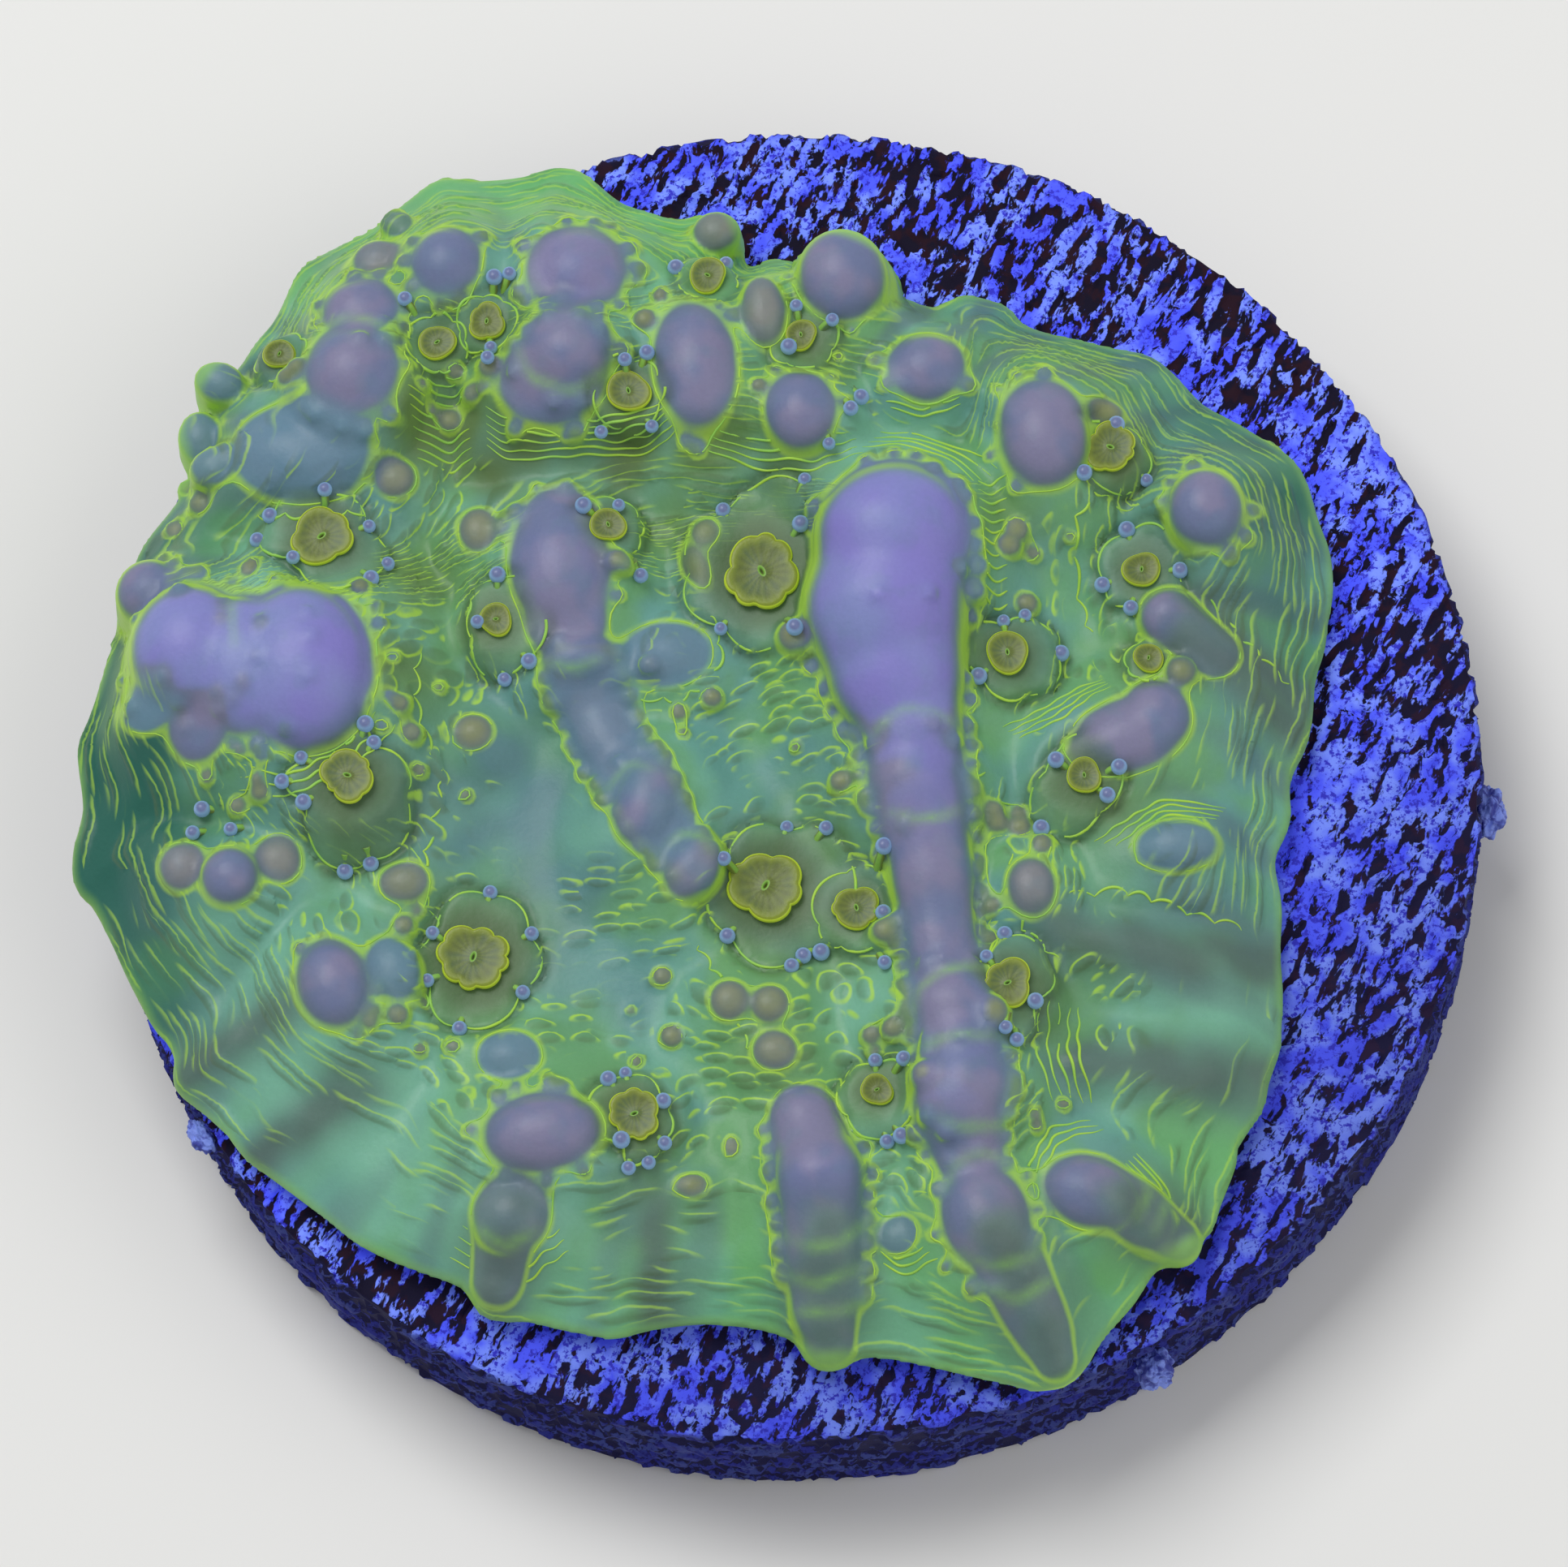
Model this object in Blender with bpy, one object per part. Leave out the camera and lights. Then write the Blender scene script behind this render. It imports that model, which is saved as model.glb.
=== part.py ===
"""A chalice coral colony growing on a round ceramic frag disc.

The disc is a cut ceramic slab. The colony is one stony plate with bulbs, ridges and low polyp
cushions, and it overhangs the disc a little on the west and north-west. Three calcified specks
sit on the disc's rim. Metres, +Z up, origin at the centre of the disc's underside.
"""

import math

import bmesh
import bpy
from mathutils import Matrix, Vector, noise

MM = 0.001

# Driving dimensions, in millimetres.
DISC_RADIUS = 16.0
DISC_THICKNESS = 4.2
DISC_EDGE_BEVEL = 0.3
DISC_EDGE_WEAR = 0.14
DISC_WEAR_GRAIN = 3.0
DISC_BEVEL_SEGMENTS = 2
DISC_BEVEL_ANGLE = math.radians(60)
DISC_SEGMENTS = 96
TOUCH_GAP = 0.3

PLATE_HEIGHT = 1.47
MARGIN_HEIGHT = 0.72
MARGIN_REACH = 4.5
CROWN_RISE = 0.95
CROWN_FOOT_RUN = 0.9
CROWN_MARGIN_REACH = 3.2
BULB_SHOULDER = 0.68
RIDGE_SHOULDER = 0.44
SHOULDER_FOOT = 1.3
SHOULDER_START = 0.8
SHOULDER_SPREAD = 0.75
SLIM_BULB_SPREAD = 0.55
SLIMMEST_HALF = 0.4
SWELL_MARGIN_REACH = 1.6
SWELL_PLATE_SHARE = 0.5
SWELL_BLEND = 0.3
FOLD_BLEND = 0.4
LIP_BULGE = 0.12
LIP_UNDERCUT = 0.35
LIP_HEIGHT_SHARE = 0.6
COLONY_SEGMENTS = 264
COLONY_RINGS = 52
FIRST_RING = 0.35
COLONY_KEPT_SHARE = 0.27
BLEND_WIDTH = 0.5
FLANK_DROP = 1.1
FLANK_POWER = 3.0
CUSHION_RISE = 0.11
CUSHION_SOFTNESS = 0.22
POLYP_FLATNESS = 0.85
POLYP_LEVEL_REACH = 1.35
POLYP_LEVEL_RUN = 0.6
ORAL_DISC_HEIGHT = 0.2
ORAL_DISC_EDGE = 1.6
SPECK_KNOB_HEIGHT = 0.18
SPECK_KNOB_GRAIN = 2.1
SHARP_ANGLE = math.radians(35)

# The colony's margin seen from above, clockwise from the north, in millimetres.
MARGIN = [
    (-4.1, 15.5), (-3.4, 15.3), (-2.7, 14.6), (-1.8, 14.0), (-1.0, 13.8), (-0.4, 13.8), (0.0, 13.4),
    (0.2, 12.8), (0.3, 12.4), (0.8, 12.5), (1.5, 12.3), (3.3, 11.3), (3.8, 11.2), (4.6, 10.9),
    (5.2, 11.1), (5.7, 11.0), (6.3, 10.7), (6.6, 10.2), (7.5, 9.8), (8.5, 9.4), (9.6, 9.0),
    (10.4, 7.9), (11.2, 7.2), (12.1, 6.5), (12.6, 5.9), (12.8, 5.2), (12.9, 4.5), (13.1, 3.6),
    (13.0, 2.6), (12.7, 1.4), (12.4, 0.7), (12.2, -0.3), (11.9, -1.1), (11.5, -1.8), (11.4, -2.6),
    (11.2, -3.1), (10.9, -3.7), (10.9, -4.7), (10.7, -6.4), (10.6, -7.5), (10.5, -8.1), (10.1, -8.9),
    (9.9, -9.6), (9.2, -10.4), (9.1, -10.8), (8.6, -11.8), (8.4, -12.3), (7.9, -12.6), (7.0, -13.1),
    (6.4, -13.8), (5.6, -14.6), (5.1, -15.2), (4.6, -15.5), (3.9, -15.6), (3.1, -15.3), (2.3, -15.0),
    (1.4, -14.7), (0.4, -14.4), (-0.2, -14.4), (-0.7, -14.4), (-1.1, -14.3), (-1.5, -13.8),
    (-2.3, -13.4), (-3.4, -13.2), (-4.6, -13.2), (-5.5, -13.3), (-6.2, -13.1), (-7.3, -12.7),
    (-8.1, -12.6), (-8.5, -12.3), (-8.8, -11.7), (-9.8, -11.2), (-11.1, -10.4), (-11.8, -9.7),
    (-12.5, -9.0), (-13.5, -8.1), (-13.8, -7.5), (-14.9, -6.3), (-14.9, -5.4), (-15.3, -4.8),
    (-15.6, -4.0), (-16.0, -3.0), (-16.4, -1.8), (-16.8, -1.3), (-16.9, -0.8), (-16.8, -0.2),
    (-16.6, 0.4), (-16.5, 1.3), (-16.5, 2.4), (-16.0, 3.4), (-15.3, 5.3), (-14.9, 6.5), (-14.4, 7.3),
    (-13.7, 8.1), (-13.3, 8.6), (-13.4, 9.4), (-12.8, 10.4), (-11.8, 11.5), (-10.9, 12.6),
    (-10.3, 13.6), (-9.6, 14.0), (-8.5, 14.4), (-7.7, 15.0), (-6.8, 15.5), (-6.1, 15.4),
    (-5.0, 15.3), (-4.6, 15.4),
]
CENTRE = (-2.0, -0.3)

# Bulbs: x, y, half-width along x, half-width along y, turn in degrees, top above the disc.
BULBS = {
    "crown_west": (-9.1, 9.6, 1.17, 1.24, 0, 4.3),
    "crown_west_back": (-8.8, 11.2, 0.98, 0.9, 0, 3.7),
    "crown_mid": (-6.7, 12.1, 0.89, 0.94, 0, 4.0),
    "crown_north": (-3.7, 11.5, 1.25, 1.24, 0, 4.1),
    "crown_twin_top": (-4.1, 9.4, 1.13, 1.12, 0, 4.7),
    "crown_twin_base": (-4.5, 8.8, 1.36, 1.12, 0, 4.0),
    "crown_long": (-1.2, 8.8, 1.02, 1.68, 0, 4.3),
    "crown_slim": (0.5, 10.0, 0.57, 0.96, 0, 3.9),
    "crown_east": (2.4, 10.7, 1.1, 1.24, 0, 4.2),
    "crown_round": (1.1, 7.4, 0.89, 1.0, 0, 4.2),
    "crown_small_back": (-8.3, 12.7, 0.68, 0.6, 0, 2.9),
    "crown_tiny_back": (-7.8, 13.8, 0.42, 0.4, 0, 2.2),
    "crown_rim": (-0.4, 12.9, 0.6, 0.56, 0, 1.9),
    "west_finger_top": (-12.3, 10.4, 0.64, 0.52, -30, 2.2),
    "west_finger_mid": (-12.9, 9.2, 0.53, 0.68, 0, 1.9),
    "west_finger_long": (-12.5, 8.1, 0.68, 0.52, 10, 2.8),
    "west_shoulder": (-10.5, 8.0, 1.74, 1.24, -10, 3.5),
    "west_shoulder_drop": (-8.4, 7.2, 0.53, 0.52, 0, 3.0),
    "west_twin_large": (-10.9, 2.6, 1.75, 2.15, 0, 4.6),
    "west_twin_small": (-13.4, 3.4, 1.5, 1.65, 0, 4.3),
    "west_twin_bridge": (-12.2, 2.8, 1.5, 1.82, 0, 4.38),
    "west_twin_tip": (-14.3, 5.2, 0.83, 0.84, 0, 3.0),
    "west_low": (-14.5, 2.3, 0.72, 0.72, 0, 2.6),
    "west_low_round": (-13.4, 1.5, 0.76, 0.8, 0, 3.2),
    "west_pea": (-13.0, -2.0, 0.72, 0.76, 0, 3.3),
    "west_pea_left": (-14.1, -1.5, 0.6, 0.64, 0, 2.7),
    "west_pea_right": (-11.9, -1.6, 0.57, 0.64, 0, 2.7),
    "south_west_egg": (-10.9, -4.8, 0.89, 1.16, 10, 3.3),
    "south_west_egg_side": (-9.5, -4.5, 0.64, 0.84, 10, 2.7),
    "south_west_knob": (-9.1, -2.4, 0.64, 0.52, 0, 2.4),
    "centre_mound": (-4.8, 4.6, 1.24, 1.75, 0, 3.35),
    "centre_drop": (-6.6, 5.8, 0.51, 0.6, 0, 2.7),
    "centre_curl": (-2.6, 2.3, 1.13, 0.84, 0, 2.7),
    "centre_bud": (-1.4, 5.1, 0.38, 0.4, 0, 2.7),
    "centre_pea": (-7.2, 1.0, 0.51, 0.48, 0, 2.4),
    "mid_ridge_egg": (-3.4, -1.3, 0.8, 1.16, -20, 3.15),
    "mid_ridge_bean": (-2.5, -2.9, 0.66, 0.92, -35, 3.0),
    "mid_ridge_collar": (-4.6, 2.4, 0.95, 0.62, 0, 3.0),
    "east_dome_striped": (4.1, 8.3, 0.98, 0.92, 0, 3.7),
    "east_dome": (6.6, 6.3, 1.1, 1.4, 0, 4.0),
    "east_round": (10.1, 4.2, 0.94, 1.04, 0, 3.6),
    "east_bud": (8.1, 6.8, 0.47, 0.4, 0, 3.0),
    "spine_head_lobe": (2.8, 4.3, 1.75, 1.6, 0, 4.75),
    "spine_lobe_a": (2.7, -1.5, 1.08, 1.05, 0, 3.72),
    "spine_lobe_b": (3.15, -8.8, 1.08, 1.05, 0, 3.62),
    "spine_lobe_c": (3.05, -6.9, 1.04, 0.86, 0, 3.4),
    "spine_nub": (0.4, 2.2, 0.46, 0.46, 0, 3.3),
    "spine_side_bud": (3.85, -7.3, 0.44, 0.46, 0, 3.45),
    "spine_inner_bud": (2.25, -8.6, 0.42, 0.4, 0, 3.5),
    "east_mound": (7.7, -0.9, 1.5, 0.95, 14, 2.9),
    "east_mound_head": (8.4, -0.5, 0.85, 0.95, 0, 2.9),
    "east_flat": (8.5, -3.6, 1.02, 0.64, 0, 2.7),
    "east_egg": (5.1, -4.3, 0.6, 0.76, 0, 3.0),
    "east_twin_bud": (9.1, 0.5, 0.4, 0.42, 0, 2.7),
    "south_dome": (-6.5, -8.8, 1.44, 1.0, 0, 3.2),
    "south_dome_back": (-7.1, -6.8, 0.79, 0.64, -10, 2.5),
    "south_lobe": (-7.4, -10.5, 0.94, 0.92, 0, 2.7),
    "south_bead_left": (-2.0, -6.1, 0.51, 0.52, 0, 2.6),
    "south_bead_right": (-1.1, -6.3, 0.49, 0.5, 0, 2.6),
    "south_bead_low": (-1.1, -7.4, 0.57, 0.52, -15, 2.6),
    "south_spine_egg": (3.2, -11.9, 1.06, 1.36, 10, 3.2),
    "south_east_egg": (5.6, -11.5, 1.17, 0.88, -25, 2.9),
    "south_button": (1.2, -11.9, 0.49, 0.48, 0, 2.1),
}

# Ridges: along each one, x, y, half-width, top above the disc.
RIDGES = {
    "spine": [
        (3.0, 4.3, 1.8, 4.6), (2.5, 2.6, 1.9, 4.6), (2.6, 1.1, 1.6, 4.1), (2.8, -0.3, 1.2, 3.7),
        (2.8, -2.0, 1.13, 3.5), (2.9, -3.7, 0.98, 3.2), (2.9, -5.2, 0.87, 3.0),
        (3.0, -6.5, 0.94, 3.1), (3.1, -7.7, 1.02, 3.4), (2.9, -9.2, 1.1, 3.5),
        (3.0, -10.4, 0.83, 2.9),
    ],
    "spine_tail": [
        (3.2, -11.9, 0.87, 2.9), (3.7, -13.2, 0.84, 2.2), (4.2, -14.3, 0.7, 1.5),
        (4.4, -14.9, 0.5, 1.1),
    ],
    "centre_ridge": [(-4.7, 5.6, 1.0, 3.0), (-4.8, 3.3, 1.0, 2.8)],
    "mid_ridge": [
        (-4.6, 2.2, 0.82, 2.35), (-4.2, 0.6, 0.8, 2.35), (-3.6, -0.7, 0.76, 2.45),
        (-3.0, -2.0, 0.66, 2.4), (-2.4, -3.1, 0.48, 2.1),
    ],
    "south_ridge": [
        (-0.6, -9.0, 0.87, 2.5), (-0.4, -10.4, 1.05, 3.0), (-0.5, -12.0, 0.95, 2.5),
        (-0.6, -13.2, 0.8, 1.8), (-0.6, -13.9, 0.62, 1.25),
    ],
    "south_east_ridge": [(5.8, -11.5, 0.76, 2.6), (6.8, -12.1, 0.7, 2.0), (7.5, -12.5, 0.52, 1.3)],
    "south_west_tail": [(-7.5, -10.6, 0.8, 2.4), (-7.9, -11.7, 0.62, 1.4)],
    "east_ridge": [(9.0, 1.9, 0.74, 2.8), (9.9, 1.0, 0.66, 2.3)],
}

# Folds of the plate itself: along each one, x, y, half-width, rise over the plate.
FOLDS = {
    "spine_foot": [(3.6, -12.6, 1.2, 1.1), (4.5, -15.0, 1.0, 0.45)],
    "south_foot": [(-0.4, -12.0, 1.3, 1.0), (-0.6, -14.4, 1.1, 0.4)],
    "south_west_foot": [(-7.4, -10.6, 1.3, 0.9), (-8.3, -12.3, 1.1, 0.4)],
    "mid_foot": [(-2.3, -4.3, 0.8, 0.6), (-1.2, -7.4, 0.8, 0.5)],
    "south_east_foot": [(6.6, -12.0, 1.2, 0.8), (7.8, -12.4, 1.0, 0.4)],
    "east_foot": [(9.6, 1.2, 1.0, 0.9), (11.8, -0.9, 0.9, 0.4)],
    "east_fold_high": [(5.6, -5.3, 0.9, 0.9), (8.0, -6.0, 1.2, 0.8), (10.4, -6.3, 1.0, 0.35)],
    "east_fold_low": [(5.6, -8.4, 0.9, 0.9), (8.0, -8.7, 1.2, 0.7), (10.0, -8.8, 1.0, 0.3)],
    "east_brow": [(6.2, -4.3, 0.5, 0.5), (8.6, -4.6, 0.7, 0.7), (10.0, -5.0, 0.6, 0.4)],
    "east_rib": [(9.6, 2.4, 0.7, 0.6), (11.6, 0.0, 0.7, 0.5)],
    "west_fold": [(-10.6, -7.0, 0.9, 0.5), (-13.0, -8.2, 0.8, 0.25)],
    "south_fold": [(-4.2, -10.6, 0.9, 0.4), (-4.4, -12.8, 0.8, 0.25)],
    "west_rib": [(-12.2, -5.2, 0.8, 0.7), (-14.6, -6.0, 0.8, 0.3)],
    "west_wall": [
        (-7.0, 9.6, 0.8, 1.2), (-7.8, 7.8, 0.7, 1.0), (-8.8, 6.2, 0.7, 0.9), (-8.0, 3.2, 0.6, 0.6),
    ],
    "west_terrace": [(-7.9, 2.6, 0.6, 0.6), (-8.4, 0.2, 0.8, 0.7), (-8.9, -2.0, 0.8, 0.6)],
    "north_east_rib": [
        (4.6, 10.0, 1.0, 0.5), (6.3, 9.2, 0.9, 0.6), (8.1, 8.4, 1.0, 0.5), (10.2, 6.9, 1.0, 0.5),
        (11.9, 5.0, 1.0, 0.5), (12.2, 2.6, 0.8, 0.35),
    ],
    "crown_base": [
        (-9.6, 10.6, 1.7, 1.3), (-6.6, 11.4, 1.9, 1.5), (-3.6, 10.2, 2.0, 1.6), (0.6, 9.4, 1.9, 1.4),
    ],
    "crown_east_base": [
        (0.6, 9.4, 1.9, 1.4), (2.6, 9.8, 1.6, 1.2), (5.2, 8.0, 1.6, 1.0), (6.9, 6.4, 1.6, 0.9),
    ],
    "crown_brow": [
        (-5.6, 7.9, 0.7, 0.9), (-3.6, 7.2, 0.8, 1.1), (-1.2, 6.9, 0.8, 1.0), (0.6, 6.3, 0.6, 0.7),
    ],
    "valley_lobe": [(-1.6, 6.9, 0.9, 0.9), (-2.5, 5.0, 0.6, 0.4)],
}

# The foot of the high ground under the northern crown of bulbs: y at each x, west to east.
CROWN_FOOT = [
    (-13.0, 6.7), (-8.9, 6.9), (-8.0, 7.6), (-7.5, 8.7), (-6.8, 8.9), (-6.2, 8.1), (-5.4, 7.3),
    (-3.5, 6.9), (-1.0, 6.9), (0.6, 6.6), (2.2, 6.3), (3.6, 6.9), (5.2, 6.9), (6.4, 5.3), (7.6, 6.0),
    (9.0, 7.4),
]

# Polyps: x, y, radius of the oral disc, radius of the cushion that it sits on.
POLYPS = {
    "flower": (-0.2, 3.9, 0.85, 1.74),
    "dimple_a": (-6.4, 3.5, 0.38, 0.98),
    "dimple_b": (-3.6, 5.4, 0.4, 0.72),
    "cave_west": (-10.2, 5.9, 0.68, 1.32),
    "saucer_west": (-10.1, -0.1, 0.59, 1.36),
    "rosette": (-7.7, -4.3, 0.77, 1.62),
    "rosette_mid": (-0.9, -3.4, 0.81, 1.6),
    "rosette_mid_small": (1.1, -4.2, 0.51, 0.91),
    "south_rosette": (-4.4, -8.6, 0.57, 1.1),
    "button_east": (5.2, 1.4, 0.49, 1.06),
    "button_north_east": (8.5, 3.1, 0.42, 1.13),
    "button_low_east": (6.6, -1.8, 0.4, 1.25),
    "knot_east": (8.1, 5.9, 0.57, 0.83),
    "oval_south": (4.3, -6.6, 0.55, 1.13),
    "crown_button_a": (-5.9, 10.5, 0.43, 0.64),
    "crown_button_b": (-7.1, 10.2, 0.42, 0.64),
    "crown_button_c": (-2.8, 8.3, 0.49, 0.76),
    "crown_button_d": (1.3, 9.3, 0.36, 0.76),
    "twin_button": (8.4, 0.9, 0.34, 0.49),
    "pale_button": (1.1, -8.6, 0.36, 0.79),
    "north_button": (-0.7, 11.2, 0.43, 0.64),
    "north_west_button": (-10.8, 10.6, 0.36, 0.6),
}

# Calcified specks on the disc's rim: bearing in degrees, height of the centre, half-sizes
# outwards, along the rim and up.
RIM_SPECKS = {
    "rim_speck_west": (206.4, 3.85, (0.26, 0.42, 0.24)),
    "rim_speck_south_east": (294.5, 2.6, (0.40, 0.42, 0.62)),
    "rim_burr_east": (351.5, 2.5, (0.35, 0.62, 0.50)),
}

COLOURS = {
    "disc_ceramic": (0.09, 0.11, 0.55),
    "coral_flesh": (0.14, 0.36, 0.16),
    "rim_calcite": (0.12, 0.24, 0.93),
}
ROUGHNESS = {"disc_ceramic": 0.85, "coral_flesh": 0.35, "rim_calcite": 0.7}


def clear_scene():
    for obj in list(bpy.data.objects):
        bpy.data.objects.remove(obj)


def material(name):
    made = bpy.data.materials.new(name)
    made.use_nodes = True
    shader = made.node_tree.nodes["Principled BSDF"]
    shader.inputs["Base Color"].default_value = (*COLOURS[name], 1.0)
    shader.inputs["Roughness"].default_value = ROUGHNESS[name]
    shader.inputs["Metallic"].default_value = 0.0
    return made


def add_object(name, shape, surface, parent):
    """Links the bmesh as a smooth-shaded object that holds its place in its mesh."""
    mesh = bpy.data.meshes.new(name)
    shape.to_mesh(mesh)
    shape.free()
    mesh.materials.append(surface)
    mesh.shade_smooth()
    mesh.set_sharp_from_angle(angle=SHARP_ANGLE)
    obj = bpy.data.objects.new(name, mesh)
    bpy.context.scene.collection.objects.link(obj)
    obj.parent = parent
    return obj


def smoothstep(share):
    share = min(1.0, max(0.0, share))
    return share * share * (3.0 - 2.0 * share)


def smooth_max(a, b, width=BLEND_WIDTH):
    """The larger of two heights, rounded where they cross."""
    share = max(width - abs(a - b), 0.0) / width
    return max(a, b) + share * share * width / 4.0


def margin_curve(count):
    """The margin as evenly spaced points on a closed Catmull-Rom curve."""
    steps_per_span = 12
    fine = []
    for i in range(len(MARGIN)):
        p0, p1, p2, p3 = (Vector(MARGIN[(i + k) % len(MARGIN)]) for k in (-1, 0, 1, 2))
        for step in range(steps_per_span):
            t = step / steps_per_span
            fine.append(
                0.5 * ((2 * p1) + (p2 - p0) * t + (2 * p0 - 5 * p1 + 4 * p2 - p3) * t**2
                       + (3 * p1 - p0 - 3 * p2 + p3) * t**3)
            )
    fine.append(fine[0])
    lengths = [0.0]
    for a, b in zip(fine, fine[1:]):
        lengths.append(lengths[-1] + (b - a).length)
    points = []
    span = 0
    for i in range(count):
        wanted = lengths[-1] * i / count
        while lengths[span + 1] < wanted:
            span += 1
        share = (wanted - lengths[span]) / (lengths[span + 1] - lengths[span])
        points.append(fine[span].lerp(fine[span + 1], share))
    return points


def dome_height(top, half, reach):
    """A dome's height at a reach from its middle, with flanks that steepen outwards."""
    return top - half * FLANK_DROP * reach**FLANK_POWER


def bulb_reach(x, y, bulb):
    """Distance from a bulb's middle, in its half-widths."""
    cx, cy, half_x, half_y, turn, _ = bulb
    angle = math.radians(turn)
    u = ((x - cx) * math.cos(angle) + (y - cy) * math.sin(angle)) / half_x
    v = (-(x - cx) * math.sin(angle) + (y - cy) * math.cos(angle)) / half_y
    return math.hypot(u, v)


def spans(runs):
    """Every span between neighbouring stations of the ridges or folds."""
    for stations in runs.values():
        yield from zip(stations, stations[1:])


def span_reach(x, y, span):
    """Distance from a span in half-widths, then its half-width and its height at that place."""
    (ax, ay, a_half, a_top), (bx, by, b_half, b_top) = span
    dx, dy = bx - ax, by - ay
    along = ((x - ax) * dx + (y - ay) * dy) / (dx * dx + dy * dy)
    along = min(1.0, max(0.0, along))
    half = a_half + (b_half - a_half) * along
    side = math.hypot(x - ax - dx * along, y - ay - dy * along)
    return side / half, half, a_top + (b_top - a_top) * along


def crown_foot(x):
    """Where the ground starts to rise towards the crown, along x."""
    for (ax, ay), (bx, by) in zip(CROWN_FOOT, CROWN_FOOT[1:]):
        if x <= bx:
            return ay + (by - ay) * min(1.0, max(0.0, (x - ax) / (bx - ax)))
    return CROWN_FOOT[-1][1]


def shoulder(share, reach, half, top):
    """How far the plate swells up round a bulb or ridge."""
    spread = SHOULDER_SPREAD + SLIM_BULB_SPREAD / max(half, SLIMMEST_HALF)
    fall = max(reach - SHOULDER_START, 0.0) / spread
    return (top - SHOULDER_FOOT) * share * math.exp(-(fall**2))


def ground(x, y, inset):
    """The plate's height above the disc with its swellings and folds, before bulbs and ridges."""
    plate = MARGIN_HEIGHT + (PLATE_HEIGHT - MARGIN_HEIGHT) * smoothstep(inset / MARGIN_REACH)
    behind = smoothstep((y - crown_foot(x)) / CROWN_FOOT_RUN)
    plate += CROWN_RISE * behind * smoothstep(inset / CROWN_MARGIN_REACH)
    swell = 0.0
    for bulb in BULBS.values():
        swell = max(swell, shoulder(BULB_SHOULDER, bulb_reach(x, y, bulb), min(bulb[2:4]), bulb[5]))
    for span in spans(RIDGES):
        swell = max(swell, shoulder(RIDGE_SHOULDER, *span_reach(x, y, span)))
    for span in spans(FOLDS):
        reach, _, rise = span_reach(x, y, span)
        swell = smooth_max(swell, rise * math.exp(-(reach**2)), FOLD_BLEND)
    raised = smooth_max(plate, MARGIN_HEIGHT + SWELL_PLATE_SHARE * plate + swell, SWELL_BLEND)
    return plate + (raised - plate) * smoothstep(inset / SWELL_MARGIN_REACH)


def relief(x, y, inset):
    """The colony's surface height above the disc at a point that lies inset from the margin."""
    height = ground(x, y, inset)
    for cx, cy, oral, cushion in POLYPS.values():
        out = math.hypot(x - cx, y - cy)
        level = smoothstep((POLYP_LEVEL_REACH - out / cushion) / POLYP_LEVEL_RUN)
        if level > 0.0:
            height += (ground(cx, cy, MARGIN_REACH) - height) * POLYP_FLATNESS * level
            height += CUSHION_RISE * smoothstep(0.5 - (out - cushion) / CUSHION_SOFTNESS)
            height += ORAL_DISC_HEIGHT * smoothstep(ORAL_DISC_EDGE * (1.0 - out / oral))
    for bulb in BULBS.values():
        height = smooth_max(height, dome_height(bulb[5], min(bulb[2:4]), bulb_reach(x, y, bulb)))
    for span in spans(RIDGES):
        reach, half, top = span_reach(x, y, span)
        height = smooth_max(height, dome_height(top, half, reach))
    return height


def coral_colony(surface, parent):
    """Rings of points from the middle to the margin, over its lip and in under the plate."""
    shape = bmesh.new()
    centre = Vector(CENTRE)
    margin = margin_curve(COLONY_SEGMENTS)
    floor = DISC_THICKNESS + TOUCH_GAP

    def ring(share, height):
        """One loop at a share of the way out; height is a number, or None for the relief."""
        made = []
        for point in margin:
            spoke = point - centre
            place = centre + spoke * share
            z = height
            if z is None:
                z = DISC_THICKNESS + relief(place.x, place.y, spoke.length * (1.0 - share))
            made.append(shape.verts.new((place.x * MM, place.y * MM, z * MM)))
        return made

    typical_reach = sum((p - centre).length for p in margin) / len(margin)
    lip_out = 1.0 + LIP_BULGE / typical_reach
    lip_in = 1.0 - LIP_UNDERCUT / typical_reach
    loops = [ring((i + FIRST_RING) / COLONY_RINGS, None) for i in range(COLONY_RINGS)]
    loops.append(ring(1.0, None))
    loops.append(ring(lip_out, DISC_THICKNESS + MARGIN_HEIGHT * LIP_HEIGHT_SHARE))
    loops.append(ring(lip_in, floor))
    for inner, outer in zip(loops, loops[1:]):
        for i in range(COLONY_SEGMENTS):
            k = (i + 1) % COLONY_SEGMENTS
            shape.faces.new((inner[i], inner[k], outer[k], outer[i]))
    shape.faces.new(loops[0])
    shape.faces.new(loops[-1])
    bmesh.ops.triangulate(shape, faces=[f for f in shape.faces if len(f.verts) > 4])
    bmesh.ops.recalc_face_normals(shape, faces=shape.faces)
    obj = add_object("coral_colony", shape, surface, parent)
    lighter = obj.modifiers.new("fewer_facets", "DECIMATE")
    lighter.ratio = COLONY_KEPT_SHARE
    return obj


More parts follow.
